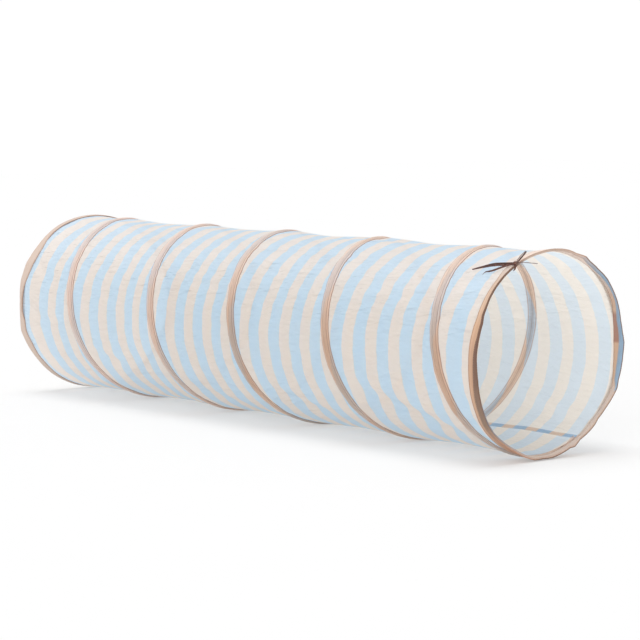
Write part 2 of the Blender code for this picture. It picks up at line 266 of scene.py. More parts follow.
# How far the stripes stand from an even spacing along the tunnel, by place and in millimetres
STRIPE_DRIFT = ((0, 0), (470, 0), (545, -9), (630, -13), (700, -14), (800, -18), (900, -17),
                (960, -19), (1050, -23), (1170, -22), (1300, -20), (1420, -17), (1500, -15),
                (1600, -10), (1680, -10), (1770, 0), (1850, 0))

# How far the stripes stand forward by degrees past the lengthwise seam, in millimetres
STRIPE_TWIST = ((0, 14), (26, 14), (46, 10), (61, 8), (76, 5), (105, 0), (360, 0))


@dataclass(frozen=True)
class Crease:
    """A fold in the cloth along a line on the tunnel, with a low ridge beside it.

    The line's stops are millimetres from the back face and degrees.
    """

    stops: Stops
    depth: float
    width: float
    shoulder: float = 0.4
    shoulder_place: float = 1.9
    shoulder_width: float = 1.1
    taper: float = 0.22
    far: float = 9.0

    def height(self, x: Array, angle: Array) -> Array:
        """Radial height that the fold adds.

        Args:
            x: places from the back face in metres.
            angle: angles in radians.

        Returns:
            Heights in metres, below zero in the fold.
        """
        girth = FULL * TUNNEL.radius
        nearest, place = np.full_like(x, self.far), np.zeros_like(x)
        points = [(px * MM, math.radians(pa) * TUNNEL.radius) for px, pa in self.stops]
        total = sum(math.dist(a, b) for a, b in zip(points, points[1:]))
        for turn in (0.0, girth, -girth):
            passed = 0.0
            for (ax, ay), (bx, by) in zip(points, points[1:]):
                dx, dy = bx - ax, by - ay
                size = math.hypot(dx, dy)
                off_x, off_y = x - ax, TUNNEL.radius * angle + turn - ay
                share = np.clip((off_x * dx + off_y * dy) / size ** 2, 0, 1)
                off_x, off_y = off_x - share * dx, off_y - share * dy
                side = np.where(off_x * dy - off_y * dx < 0, -1, 1)
                away = np.hypot(off_x, off_y)
                closer = away < np.abs(nearest)
                nearest = np.where(closer, away * side, nearest)
                place = np.where(closer, (passed + share * size) / total, place)
                passed += size
        ends = smooth_step(place / self.taper) * smooth_step((1 - place) / self.taper)
        reach = nearest / self.width
        ridge = np.exp(-((reach - self.shoulder_place) / self.shoulder_width) ** 2)
        return self.depth * (-np.exp(-reach ** 2) + self.shoulder * ridge) * ends


# Folds of the cloth that the light shows: millimetres from the back face, degrees, size
CREASES = (
    Crease(((1325, 203), (1430, 211), (1540, 221), (1690, 236)), 0.01, 0.026, 0.25),
    Crease(((990, 213), (1080, 222), (1215, 238)), 0.0065, 0.024, 0.25),
    Crease(((640, 222), (760, 232), (860, 243)), 0.003, 0.02),
    Crease(((280, 203), (330, 208), (420, 216)), 0.004, 0.014),
    Crease(((30, 176), (70, 186), (130, 190), (200, 186)), 0.0044, 0.014),
    Crease(((20, 146), (80, 158), (150, 160)), 0.0046, 0.016),
    Crease(((250, 196), (360, 199), (470, 202)), 0.0014, 0.01),
    Crease(((560, 122), (800, 122), (1060, 120), (1400, 124)), 0.0022, 0.01),
    Crease(((620, 141), (760, 144), (900, 146)), 0.0024, 0.011),
    Crease(((960, 138), (1100, 143), (1270, 148)), 0.0026, 0.011),
    Crease(((1320, 136), (1440, 145), (1560, 151)), 0.0028, 0.012),
    Crease(((1330, 160), (1420, 152), (1600, 143)), 0.0025, 0.01),
    Crease(((640, 150), (760, 152), (920, 158)), 0.0019, 0.009),
    Crease(((1500, 168), (1600, 160), (1720, 155)), 0.0022, 0.01),
    Crease(((1010, 96), (1200, 90), (1390, 93)), 0.0034, 0.016),
    Crease(((1480, 330), (1600, 322), (1740, 318)), 0.004, 0.016),
    Crease(((1560, 272), (1660, 268), (1750, 276)), 0.002, 0.014),
)

# Round the rims, in degrees and millimetres: radius of the front edge, of the front hem's
# mouth and of the back edge, and how far each leg of the folded tapes reaches from the edge
FRONT_EDGE_RADII = (
    (3, 236.4), (8.6, 233.2), (15.6, 232.8), (20.7, 235.3), (27, 237.7), (35, 238.4), (42, 239.1),
    (51, 235.6), (59, 235.3), (63, 238.6), (71, 234.4), (77, 236), (84, 235.1), (100, 233.4),
    (118, 235), (126, 237.2), (131, 238.1), (139, 239.2), (145, 239.3), (151, 237.5),
    (155, 237.2), (159, 233.7), (165, 234.7), (170, 235.6), (174.5, 236.7), (179, 237),
    (184, 235.9), (190, 236), (195, 237.5), (200, 239.4), (205, 240.8), (211, 242.3), (215, 243.4),
    (222, 243.2), (226, 241.4), (230, 239.2), (241, 235), (257.5, 235.9), (264, 231),
    (271, 230), (277.4, 226.7), (283.4, 223.6), (286, 222.1), (290, 225.4), (295.6, 218.5),
    (303.5, 219.6), (310, 219.9), (314.6, 217.5), (323, 221.5), (331.5, 228.2), (337.3, 232.6),
    (341.6, 230.1), (348.6, 232), (356.6, 233.4))
FRONT_MOUTH_RADII = (
    (3, 233), (20, 235.5), (35, 237), (50, 236), (64, 234), (77, 233), (118, 232.5),
    (150, 232.5), (180, 232.8), (216, 236), (240, 233), (270, 232), (291, 228.4), (301, 230),
    (309, 228.2), (316, 229), (325, 231.5), (333, 235), (341, 236), (350, 233.5))
BACK_RADII = (
    (0, 232.5), (60, 233), (99, 236.6), (108, 237.4), (119, 238.8), (128, 238.1), (138, 236.8),
    (146.5, 237.9), (152, 239.8), (158, 238.3), (164, 238.3), (169, 235.9), (176.6, 232.6),
    (183, 232.9), (189, 234.6), (196.4, 239.3), (200, 238.2), (203, 237.1), (211, 235.2),
    (219.6, 233.3), (227, 233.5), (235, 233.4), (245, 232.8), (254, 233), (270, 232.5))
FRONT_TAPE_OUTSIDE = (
    (0, 26), (60, 25), (112, 25), (125, 24), (132, 18), (137, 19), (144, 20.5), (150, 21.5),
    (156, 21.5), (160, 24.2), (165.5, 25.6), (170, 26.8), (181, 27.2), (187, 28.2), (192, 29.2),
    (199, 31.2), (209, 33), (216, 36), (224, 38.5), (238, 41), (256, 38), (280, 32), (320, 28))
FRONT_TAPE_INSIDE = (
    (3, 30), (9, 28), (15, 25), (21, 20), (27, 16), (33, 16), (39, 17), (46, 17), (53, 19),
    (60, 23), (66, 26), (77, 26), (118, 24), (180, 22), (240, 24), (270, 30), (290, 29),
    (301, 25), (309, 24), (316, 23), (325, 20), (332, 18), (337, 17), (341, 20), (349, 27),
    (355, 29))
BACK_TAPE_OUTSIDE = (
    (0, 19), (60, 17), (100, 18), (112, 18), (125, 17), (132, 20), (140, 27), (150, 29),
    (157, 27), (163, 23), (169, 17), (175, 12.5), (184, 12.5), (190, 21), (200, 23), (207, 25),
    (215, 22), (227, 25), (240, 20), (260, 18), (300, 21))
BACK_TAPE_INSIDE = ((0, 18), (50, 21), (110, 17), (170, 19), (230, 18), (300, 20))
LIP_OUTSIDE = (
    (3, 1.6), (60, 1.4), (118, 0.8), (143, 0.8), (148, 1.2), (152, 3.2), (159, 4.4), (167, 4.9),
    (171, 7.5), (175, 8.7), (182, 10.5), (187, 11.9), (194, 14.6), (202, 17.6), (209, 19),
    (215, 21.4), (221, 23), (233, 24), (243, 19), (252, 9), (262, 2), (290, 1.2), (320, 1.2))
LIP_INSIDE = (
    (3, 12), (9, 9), (16, 10), (28, 1.6), (35, 1.6), (42, 6), (50, 10.5), (58, 10), (66, 6),
    (75, 1.6), (118, 1.6), (240, 1.6), (336, 1.4), (337, 2), (342, 11), (348, 14), (357, 13))


@dataclass(frozen=True)
class Surface:
    """The tunnel's tube as a shape: places on it, its sag, its folds and its tilted ends."""

    size: Tunnel = TUNNEL
    mouth: float = 0.0305
    rim_reach: float = 0.085
    least_bay: float = 0.4 * MM
    ridge: Unevenness = Unevenness(3.2, 1.7, 3)
    ridge_height: float = 1.1 * MM
    fold_angle: float = 146
    fold_spread: float = 24
    fine_folds: Unevenness = Unevenness(6.0, 19, 5)
    fine_height: float = 0.6
    fine_rise: float = 1.7
    broad_folds: Unevenness = Unevenness(7.5, 6, 8)
    broad_height: float = 2.4 * MM
    held: float = 11 * MM
    least_width: float = 1 * MM
    least_waist: float = 0.5 * MM
    waist: float = 4.5 * MM
    waist_power: float = 1.3
    free_width: float = 26 * MM
    cloth_clearance: float = 4.2 * MM

    def wire_x(self, station: Array) -> Array:
        """Place of the spring along the tunnel, at rest and without the end tilt.

        Args:
            station: station counts, 0 to 32 for the first turn and on.

        Returns:
            Places from the back face in metres.
        """
        size = self.size
        turn = (station - size.helix_start_station) / size.facets
        forward = turn < size.turns / 2
        near = np.where(forward, station, size.last_station - station)
        climb = 2 * (size.leaving_x / size.station_pitch + size.helix_start_station - 1)
        line = size.station_pitch * (near - size.helix_start_station)
        bend = size.leaving_x + size.station_pitch * (near - 1) ** 2 / (2 * climb)
        x = np.where(near < 1 + climb, bend, line)
        x = np.where(near <= 1, size.leaving_x, x)
        return np.where(forward, x, size.length - x) + eased(WIRE_DRIFT, turn) * MM

    def bay_edges(self, bay: int, angle: Array) -> tuple[Array, Array]:
        """Back and front edge of a bay of cloth.

        Args:
            bay: 0 for the back wedge to 5 for the front wedge.
            angle: angles from the seam's angle to a full turn past it.

        Returns:
            Two arrays of places from the back face.
        """
        size = self.size
        first, last = size.cloth_edge_x, size.length - size.cloth_edge_x
        edges = []
        for edge in (bay, bay + 1):
            along = self.wire_x(size.station_of(angle) + (edge - 1) * size.facets)
            if edge == 0 or edge > size.turns:
                along = np.full_like(angle, first if edge == 0 else last)
            edges.append(np.clip(along, first, last))
        return edges[0], np.maximum(edges[1], edges[0] + self.least_bay)

    def tilted(self, x: Array, angle: Array) -> Array:
        """Place along the tunnel once the end hoops stand a little askew.

        Args:
            x: places from the back face.
            angle: angles in radians.

        Returns:
            The moved places.
        """
        size = self.size
        front = smooth_step((x - size.length + size.tilt_reach) / size.tilt_reach)
        back = smooth_step((size.tilt_reach - x) / size.tilt_reach)
        return x + (size.back_tilt * back - size.front_tilt * front) * np.cos(angle)

    def ridge_wave(self, x: Array, angle: Array) -> Array:
        """Slow unevenness of the spring and cloth at places and angles, in metres."""
        return self.ridge_height * self.ridge.at(x, angle)

    def folds(self, x: Array, angle: Array) -> Array:
        """Fine folds along the tunnel and the named creases, in metres.

        Args:
            x: places from the back face.
            angle: angles in radians.

        Returns:
            Radial heights.
        """
        upper = np.exp(-((np.degrees(angle) % 360 - self.fold_angle) / self.fold_spread) ** 2)
        height = (self.fine_height + self.fine_rise * upper) * MM * self.fine_folds.at(x, angle)
        height += self.broad_height * self.broad_folds.at(x, angle)
        for crease in CREASES:
            height += crease.height(x, angle)
        return height

    def rim_offset(self, x: Array, angle: Array) -> Array:
        """Radial offset that the uneven end hoops give the tube near its ends.

        Args:
            x: places from the back face.
            angle: angles in radians.

        Returns:
            Radial heights in metres.
        """
        size = self.size
        mouth = size.length - self.mouth
        front = smooth_step((x - mouth + self.rim_reach) / self.rim_reach)
        back = smooth_step((self.rim_reach - x) / self.rim_reach)
        share = np.clip((x - mouth) / (size.length - mouth), 0, 1)
        at_mouth, at_edge, at_back = (
            round_table(radii, angle) * MM - size.radius
            for radii in (FRONT_MOUTH_RADII, FRONT_EDGE_RADII, BACK_RADII))
        return front * (at_mouth + (at_edge - at_mouth) * share) + back * at_back

    def cloth_radius(self, x: Array, angle: Array, back: Array, front: Array) -> Array:
        """Radius of the cloth's outer face.

        Args:
            x: places from the back face.
            angle: angles in radians.
            back: the bay's back edge at those angles.
            front: the bay's front edge at those angles.

        Returns:
            Radii in metres.
        """
        size = self.size
        width = np.maximum(front - back, self.least_width)
        held = np.minimum(self.held, width / 4)
        share = np.clip((x - back - held) / np.maximum(width - 2 * held, self.least_waist), 0, 1)
        fullness = np.minimum(width / size.pitch, 1)
        waist = self.waist * fullness ** 2 * np.sin(math.pi * share) ** self.waist_power
        free = smooth_step(np.minimum(x - back, front - x) / self.free_width)
        radius = size.cloth_radius - waist + self.ridge_wave(x, angle)
        radius += self.folds(x, angle) * free
        return self.on_floor(radius + self.rim_offset(x, angle), angle, self.cloth_clearance)

    def on_floor(self, radius: Array, angle: Array, clearance: float) -> Array:
        """Radii that stay a clearance above the floor, where soft goods flatten."""
        down = np.maximum(-np.sin(angle), 1e-6)
        return np.minimum(radius, (self.size.radius - clearance) / down)

    def point(self, x: Array, angle: Array, radius: Array) -> Array:
        """Points in the row frame of places before the end tilt, angles and radii."""
        ahead, high = self.size.back_face_x + self.tilted(x, angle), radius * np.sin(angle)
        return np.stack([ahead, radius * np.cos(angle), self.size.radius + high], axis=-1)

    def stripe_place(self, x: Array, angle: Array) -> Array:
        """Length along the cloth as it was cut, in metres, which the stripes go by."""
        turned = np.degrees((angle - self.size.seam_angle) % FULL)
        return x - (linear(STRIPE_DRIFT, x / MM) + linear(STRIPE_TWIST, turned)) * MM


SURFACE = Surface()


class Side(Enum):
    """Faces of a shell and the material slot of each."""

    OUTER = 0
    INNER = 1
    EDGE = 2


@dataclass
class Shell:
    """Thin closed body between an outer and an inner grid of points, round by along."""

    name: str
    outer: Array
    inner: Array
    closed: bool = False
    sharp_angle: float = math.radians(50)
    maps: dict[str, Array] = field(default_factory=dict)

    def chart(self, name: str, across: Array, along: Array) -> None:
        """Adds a UV map in metres, with one column more than the grid where closed."""
        self.maps[name] = np.stack([across, along], axis=-1)

    def faces(self) -> tuple[Array, Array, Array]:
        """Four-sided faces of both grids and of the edges between them.

        Returns:
            Each face's four points, its four places in the maps, and its side's number.
        """
        columns, rows = self.outer.shape[:2]
        spans = columns if self.closed else columns - 1
        count = columns * rows
        grid = np.arange(count).reshape(columns, rows)
        chart = np.arange((spans + 1) * rows).reshape(spans + 1, rows)
        this = np.arange(spans)
        following = (this + 1) % columns
        panels = [np.stack([a[:, :-1], b[:, :-1], b[:, 1:], a[:, 1:]], axis=-1).reshape(-1, 4)
                  for a, b in ((grid[this], grid[following]), (chart[this], chart[this + 1]))]
        parts = [(panels[0], panels[1], Side.OUTER),
                 (panels[0][:, ::-1] + count, panels[1][:, ::-1], Side.INNER)]
        edges = [(grid[this, row], grid[following, row], chart[this, row], chart[this + 1, row],
                  row == 0) for row in (0, rows - 1)]
        if not self.closed:
            edges += [(grid[column, :-1], grid[column, 1:], chart[column, :-1], chart[column, 1:],
                       column > 0) for column in (0, columns - 1)]
        for a, b, chart_a, chart_b, turned_over in edges:
            step = -1 if turned_over else 1
            quad = np.stack([a, b, b + count, a + count], axis=-1)
            corner = np.stack([chart_a, chart_b, chart_b, chart_a], axis=-1)
            parts.append((quad[:, ::step], corner[:, ::step], Side.EDGE))
        slots = [np.full(len(quad), side.value) for quad, _, side in parts]
        return (np.concatenate([quad for quad, _, _ in parts]),
                np.concatenate([corner for _, corner, _ in parts]), np.concatenate(slots))

    def build(self, outer: Material, inner: Material | None = None) -> Piece:
        """Makes the mesh object.

        Args:
            outer: material of the outer face and of the edges.
            inner: material of the inner face, or None for the same.

        Returns:
            The object.
        """
        quads, corners, slots = self.faces()
        points = np.concatenate([self.outer.reshape(-1, 3), self.inner.reshape(-1, 3)])
        mesh = bpy.data.meshes.new(self.name)
        mesh.vertices.add(len(points))
        mesh.vertices.foreach_set("co", points.astype(np.float32).ravel())
        mesh.loops.add(quads.size)
        mesh.loops.foreach_set("vertex_index", quads.astype(np.int32).ravel())
        mesh.polygons.add(len(quads))
        mesh.polygons.foreach_set("loop_start", (np.arange(len(quads)) * 4).astype(np.int32))
        mesh.polygons.foreach_set("material_index", slots.astype(np.int32))
        mesh.update(calc_edges=True)
        for name, values in self.maps.items():
            layer = mesh.uv_layers.new(name=name)
            flat = values.reshape(-1, 2)[corners.ravel()]
            layer.data.foreach_set("uv", flat.astype(np.float32).ravel())
        mesh.validate()
        mesh.shade_smooth()
        mesh.set_sharp_from_angle(angle=self.sharp_angle)
        for finish in (outer, inner or outer, outer):
            mesh.materials.append(finish)
        return link(self.name, mesh)


@dataclass(frozen=True)
class Stretch:
    """A stretch of the girth by its arc in metres: its middle, where it fades and ends."""

    middle: float
    full: float
    end: float


# Stretches of the girth: the top of the near side, where cloth and tape get painted light, and
# where the fine wrinkles are closest.
CLOTH_TOP = Stretch(1.84, 0.13, 0.30)
TAPE_TOP = Stretch(1.84, 0.14, 0.36)
WRINKLED = Stretch(2.03, 0.04, 0.19)


class Graph:
    """Short way to lay out the nodes of a material or of a shared group."""

    def __init__(self, tree: Tree) -> None:
        """Keeps the node tree that is filled."""
        self.tree = tree

    def add(self, kind: str, **settings: object) -> Node:
        """Adds a node.

        Args:
            kind: the node's type name.
            **settings: attributes to set on it.

        Returns:
            The node.
        """
        node = self.tree.nodes.new(kind)
        for key, value in settings.items():
            setattr(node, key, value)
        return node

    def feed(self, socket: Socket, value: Value) -> None:
        """Links an input or sets its value.

        Args:
            socket: the input.
            value: another socket, a number, a colour, or None to leave it.
        """
        if isinstance(value, Socket):
            self.tree.links.new(value, socket)
        elif value is not None:
            socket.default_value = value

    def fill(self, node: Node, **values: Value) -> Node:
        """Feeds a node's inputs by name.

        Args:
            node: the node.
            **values: what they get, by name with _ for a space.

        Returns:
            The node.
        """
        for key, value in values.items():
            self.feed(node.inputs[key.replace("_", " ")], value)
        return node

    def row(self, node: Node, *values: Value) -> Socket:
        """Feeds a node's inputs in their order.

        Args:
            node: the node.
            *values: what they get.

        Returns:
            Its first output.
        """
        for socket, value in zip(node.inputs, values):
            self.feed(socket, value)
        return node.outputs[0]

    def math(self, operation: str, *values: Value, clamp: bool = False) -> Socket:
        """Result of a Math node, held between 0 and 1 if clamped."""
        return self.row(self.add("ShaderNodeMath", operation=operation, use_clamp=clamp), *values)

    def times(self, first: Value, second: Value) -> Socket:
        """Product of two values."""
        return self.math('MULTIPLY', first, second)

    def scaled(self, value: Value, factor: Value, offset: Value) -> Socket:
        """A value times a factor, plus an offset."""
        return self.math('MULTIPLY_ADD', value, factor, offset)

    def less(self, first: Value, second: Value) -> Socket:
        """The first value less the second."""
        return self.math('SUBTRACT', first, second)

    def share(self, first: Value, second: Value) -> Socket:
        """The first value divided by the second."""
        return self.math('DIVIDE', first, second)

    def away(self, value: Value, middle: Value) -> Socket:
        """Distance of a value from a middle one."""
        return self.math('ABSOLUTE', self.less(value, middle))

    def ramp(self, value: Value, low: float, high: float, start: float = 0.0,
             end: float = 1.0) -> Socket:
        """Adds a smooth step between two values.

        Args:
            value: the input.
            low: where it starts.
            high: where it ends.
            start: result below low.
            end: result above high.

        Returns:
            The output socket.
        """
        node = self.add("ShaderNodeMapRange", interpolation_type='SMOOTHSTEP')
        self.fill(node, Value=value, From_Min=low, From_Max=high, To_Min=start, To_Max=end)
        return node.outputs["Result"]

    def fade(self, value: Value, near: float, far: float, most: float = 1.0) -> Socket:
        """Smooth fall from the most to nothing between two values."""
        return self.ramp(value, near, far, most, 0.0)

    def within(self, across: Value, stretch: Stretch) -> Socket:
        """Mask of a stretch of the girth."""
        return self.fade(self.away(across, stretch.middle), stretch.full, stretch.end)

    def mix(self, share: Value, first: Value, second: Value, mode: str = 'MIX') -> Socket:
        """Mixes two colours.

        Args:
            share: factor.
            first: first colour.
            second: second colour.
            mode: blend mode.

        Returns:
            The colour socket.
        """
        node = self.add("ShaderNodeMix", data_type='RGBA', blend_type=mode)
        for index, value in ((0, share), (6, first), (7, second)):
            self.feed(node.inputs[index], value)
        return node.outputs[2]

    def over(self, colour: Value, top: Value, mask: Value, most: Value) -> Socket:
        """Lays a colour over another where a mask is, at most by a share."""
        return self.mix(self.times(mask, most), colour, top)

    def shaded(self, colour: Value, light: Value) -> Socket:
        """A colour times a value."""
        return self.mix(1.0, colour, self.vector(light, light, light), 'MULTIPLY')

    def noise(self, vector: Value, scale: float, detail: float, roughness: float = 0.5) -> Socket:
        """Noise about 0.5, by its scale per metre, its octaves and the finer ones' share."""
        return self.fill(self.add("ShaderNodeTexNoise"), Vector=vector, Scale=scale,
                         Detail=detail, Roughness=roughness).outputs["Fac"]

    def grain(self, across: Value, along: Value, fine: float, coarse: float, detail: float,
              roughness: float = 0.5, layer: float = 0.0) -> Socket:
        """Noise with a scale of its own across and along, and a layer that picks its pattern."""
        place = self.vector(self.times(across, fine), self.times(along, coarse), layer)
        return self.noise(place, 1.0, detail, roughness)

    def split(self, vector: Value) -> list[Socket]:
        """The three parts of a vector."""
        node = self.add("ShaderNodeSeparateXYZ")
        return list(self.row(node, vector).node.outputs)

    def vector(self, x: Value, y: Value, z: Value = 0.0) -> Socket:
        """A vector of three parts."""
        return self.row(self.add("ShaderNodeCombineXYZ"), x, y, z)

    def chart(self, name: str) -> Socket:
        """A UV map by its name."""
        return self.add("ShaderNodeUVMap", uv_map=name).outputs[0]

    def bumps(self, *layers: tuple[Socket, float, float]) -> Socket:
        """Adds Bump nodes, each on the one before it.

        Args:
            *layers: height, metres for a height of 1, and strength of each.

        Returns:
            The normal socket.
        """
        normal = None
        for height, distance, strength in layers:
            node = self.add("ShaderNodeBump")
            normal = self.fill(node, Height=height, Distance=distance, Strength=strength,
                               Normal=normal).outputs[0]
        return normal

    def group(self, tree: Tree, **inputs: Value) -> dict[str, Socket]:
        """Outputs by name of a shared group that is fed by input name, with _ for a space."""
        node = self.fill(self.add("ShaderNodeGroup", node_tree=tree), **inputs)
        return {socket.name: socket for socket in node.outputs}

    def seen_directly(self) -> Socket:
        """Mask of the rays that show a surface, from the camera, a gloss or through glass.

        Returns:
            The value socket, 0 for the rays that only light the rest.
        """
        path = self.add("ShaderNodeLightPath").outputs
        seen = self.math('MAXIMUM', path["Is Camera Ray"], path["Is Glossy Ray"])
        return self.math('MAXIMUM', seen, path["Is Transmission Ray"])


class Group(Graph):
    """A shared shader group whose outputs are plain values."""

    def __init__(self, name: str, outputs: tuple[str, ...], **inputs: float | None) -> None:
        """Makes the group and its sockets.

        Args:
            name: name of the group.
            outputs: names of its outputs.
            **inputs: default by input name with _ for a space, or None for a vector.
        """
        super().__init__(bpy.data.node_groups.new(name, "ShaderNodeTree"))
        for key, value in inputs.items():
            kind = "NodeSocketVector" if value is None else "NodeSocketFloat"
            socket = self.tree.interface.new_socket(name=key.replace("_", " "), in_out='INPUT',
                                                    socket_type=kind)
            if value is not None:
                socket.default_value = value
        for key in outputs:
            self.tree.interface.new_socket(name=key, in_out='OUTPUT',
                                           socket_type="NodeSocketFloat")
        self.ports = {socket.name: socket for socket in self.add("NodeGroupInput").outputs}
        self.end = self.add("NodeGroupOutput")

    def give(self, **values: Socket) -> Tree:
        """Links the outputs by name, with _ for a space, and returns the group."""
        self.fill(self.end, **values)
        return self.tree


def linear_light(value: float) -> float:
    """Linear share of an 8-bit screen value."""
    share = value / 255
    return share / 12.92 if share <= 0.04045 else ((share + 0.055) / 1.055) ** 2.4


def srgb(red: float, green: float, blue: float) -> Colour:
    """Linear colour of an 8-bit screen colour."""
    return (linear_light(red), linear_light(green), linear_light(blue), 1.0)


class Effects:
    """Shader groups that the materials share, each built once."""

    def __init__(self) -> None:
        """Builds the groups."""
        self.weave = self.build_weave()
        self.stripes = self.build_stripes()
        self.stitches = self.build_stitches()
        self.wear = self.build_wear()
        self.band = self.build_band()
        self.wrinkles = self.build_wrinkles()

    @staticmethod
    def build_weave() -> Tree:
        """Plain weave: threads that go over and under each other.

        Returns:
            The group. Place and Pitch are in metres.
        """
        group = Group("plain_weave", ("Height", "Shade"), Place=None, Pitch=0.0005)
        across, along, _ = group.split(group.ports["Place"])
        turns = [group.times(group.share(part, group.ports["Pitch"]), math.pi)
                 for part in (across, along)]
        over = group.times(*(group.math('SINE', turn) for turn in turns))
        warp, weft = (group.math('ABSOLUTE', group.math('COSINE', turn)) for turn in turns)
        pick = group.ramp(over, -0.25, 0.25)
        thread = group.math('ADD', group.times(pick, warp),
                            group.times(group.less(1.0, pick), weft))
        slub = group.noise(group.vector(group.times(across, 60.0), along), 40.0, 3.0)
        return group.give(Height=group.scaled(slub, 0.35, thread),
                          Shade=group.scaled(group.less(slub, 0.5), 0.5, thread))

    @staticmethod
    def build_stripes() -> Tree:
        """Even stripes across the cloth with slightly soft, uneven edges.

        Returns:
            The group. Mask is 1 on the second colour, Upper is 1 along the top of the near side,
            where the cloth gets painted light.
        """
        group = Group("woven_stripes", ("Mask", "Upper"), Place=None, Period=0.078, Start=0.038,
                      Width=0.0385, Softness=0.0011)
        ports = group.ports
        across, along, _ = group.split(ports["Place"])
        waver = group.less(group.grain(across, along, 16.0, 9.0, 3.0), 0.5)
        upper = group.within(across, CLOTH_TOP)
        shifted = group.scaled(waver, group.scaled(upper, 0.007, 0.009), along)
        stripe = group.math('WRAP', group.less(shifted, ports["Start"]), ports["Period"], 0.0)
        half = group.times(ports["Width"], 0.5)
        edge = group.share(group.less(group.away(stripe, half), half), ports["Softness"])
        mask = group.math('MULTIPLY_ADD', edge, 0.5, 0.5, clamp=True)
        return group.give(Mask=mask, Upper=upper)

    @staticmethod
    def build_stitches() -> Tree:
        """A row of stitches.

        Returns:
            The group. Along and Off are metres along and away from the row.
        """
        group = Group("stitch_row", ("Mask", "Height"), Along=0.0, Off=0.0, Length=0.0032,
                      Width=0.0007)
        ports = group.ports
        cycle = group.math('FRACT', group.share(ports["Along"], ports["Length"]))
        run = group.fade(group.away(cycle, 0.5), 0.34, 0.44)
        off = group.share(group.math('ABSOLUTE', ports["Off"]), ports["Width"])
        mask = group.times(run, group.fade(off, 0.5, 1.0))
        return group.give(Mask=mask, Height=group.less(mask, group.fade(off, 0.5, 3.2)))

    @staticmethod
    def build_wear() -> Tree:
        """Slow unevenness of dye and light handling marks.

        Returns:
            The group. Value is about 1, a little less where the cloth is duller.
        """
        group = Group("handling_wear", ("Value", "Mark"), Place=None, Amount=0.05)
        slow, quick = (group.noise(group.ports["Place"], scale, 3.0) for scale in (7.0, 60.0))
        both = group.scaled(quick, 0.4, slow)
        swing = group.times(group.less(both, 0.7), group.ports["Amount"])
        return group.give(Value=group.math('ADD', 1.0, swing), Mark=group.ramp(both, 0.88, 1.02))

    @staticmethod
    def build_band() -> Tree:
        """Painted shade of the casing outside, seen through the cloth: a tan-tinted stripe with
        darker lines at its edges and along the wire, and the distance to its real sewing line.

        Returns:
            The group. Back and Front are the distances to the spring behind and before.
        """
        group = Group("painted_casing_shade", ("Band", "Edge", "Stitch Off", "Centre"), Back=1.0,
                      Front=1.0, Half_Width=0.0143, Stitch_Line=0.0060)
        ports = group.ports
        nearest = group.math('MINIMUM', ports["Back"], ports["Front"])
        inside = group.less(ports["Half Width"], nearest)
        return group.give(Band=group.ramp(inside, -0.0006, 0.0006),
                          Edge=group.fade(group.away(inside, 0.0010), 0.0007, 0.0022),
                          Stitch_Off=group.less(nearest, ports["Stitch Line"]),
                          Centre=group.fade(nearest, 0.0010, 0.0034))

    @staticmethod
    def build_wrinkles() -> Tree:
        """Fine ridges that run along the tunnel, closest on its upper near side.

        Returns:
            The group. Height is in shares of the ridges' height.
        """
        group = Group("fine_wrinkles", ("Height",), Place=None)
        across, along, _ = group.split(group.ports["Place"])
        broad = group.grain(across, along, 44.0, 7.0, 2.0)
        slant = group.grain(group.scaled(along, 0.24, across), along, 62.0, 9.0, 1.0, layer=5.0)
        ridges = group.scaled(group.fade(group.away(slant, 0.5), 0.0, 0.22), 0.22, broad)
        strength = group.scaled(group.within(across, WRINKLED), 0.72, 0.28)
        return group.give(Height=group.times(ridges, strength))


@dataclass(frozen=True)
class ClothFinish:
    """Thin striped cloth."""

    blue: Colour = srgb(188, 219, 242)
    cream: Colour = srgb(235, 221, 209)
    # Paler stripe colours along the top of the near side: painted light from above.
    top_painted_light_blue: Colour = srgb(206, 232, 253)
    top_painted_light_cream: Colour = srgb(247, 236, 228)
    # Paler stripe colours for the inner face: painted light that fills the tube.
    inner_painted_light_blue: Colour = srgb(206, 222, 234)
    inner_painted_light_cream: Colour = srgb(238, 228, 214)
    # Colours of the casing's painted shade, where it shows through the cloth from inside.
    casing_shade_painted_blue: Colour = srgb(204, 220, 233)
    casing_shade_painted_cream: Colour = srgb(246, 220, 198)
    # Darker stripe colours for the seam allowance, the same cloth: painted shade of the fold.
    seam_painted_shade_blue: Colour = srgb(150, 186, 216)
    seam_painted_shade_cream: Colour = srgb(226, 198, 178)
    stitch: Colour = srgb(176, 120, 88)
    see_through: float = 0.50
    sheer: float = 0.09
    roughness: float = 0.88
    specular: float = 0.22
    sheen: float = 0.08
    thread: float = 0.00045
    thread_shade: float = 0.05
    thread_height: float = 0.00006
    wear: float = 0.06
    crumple_height: float = 0.0068
    wrinkle_height: float = 0.0085


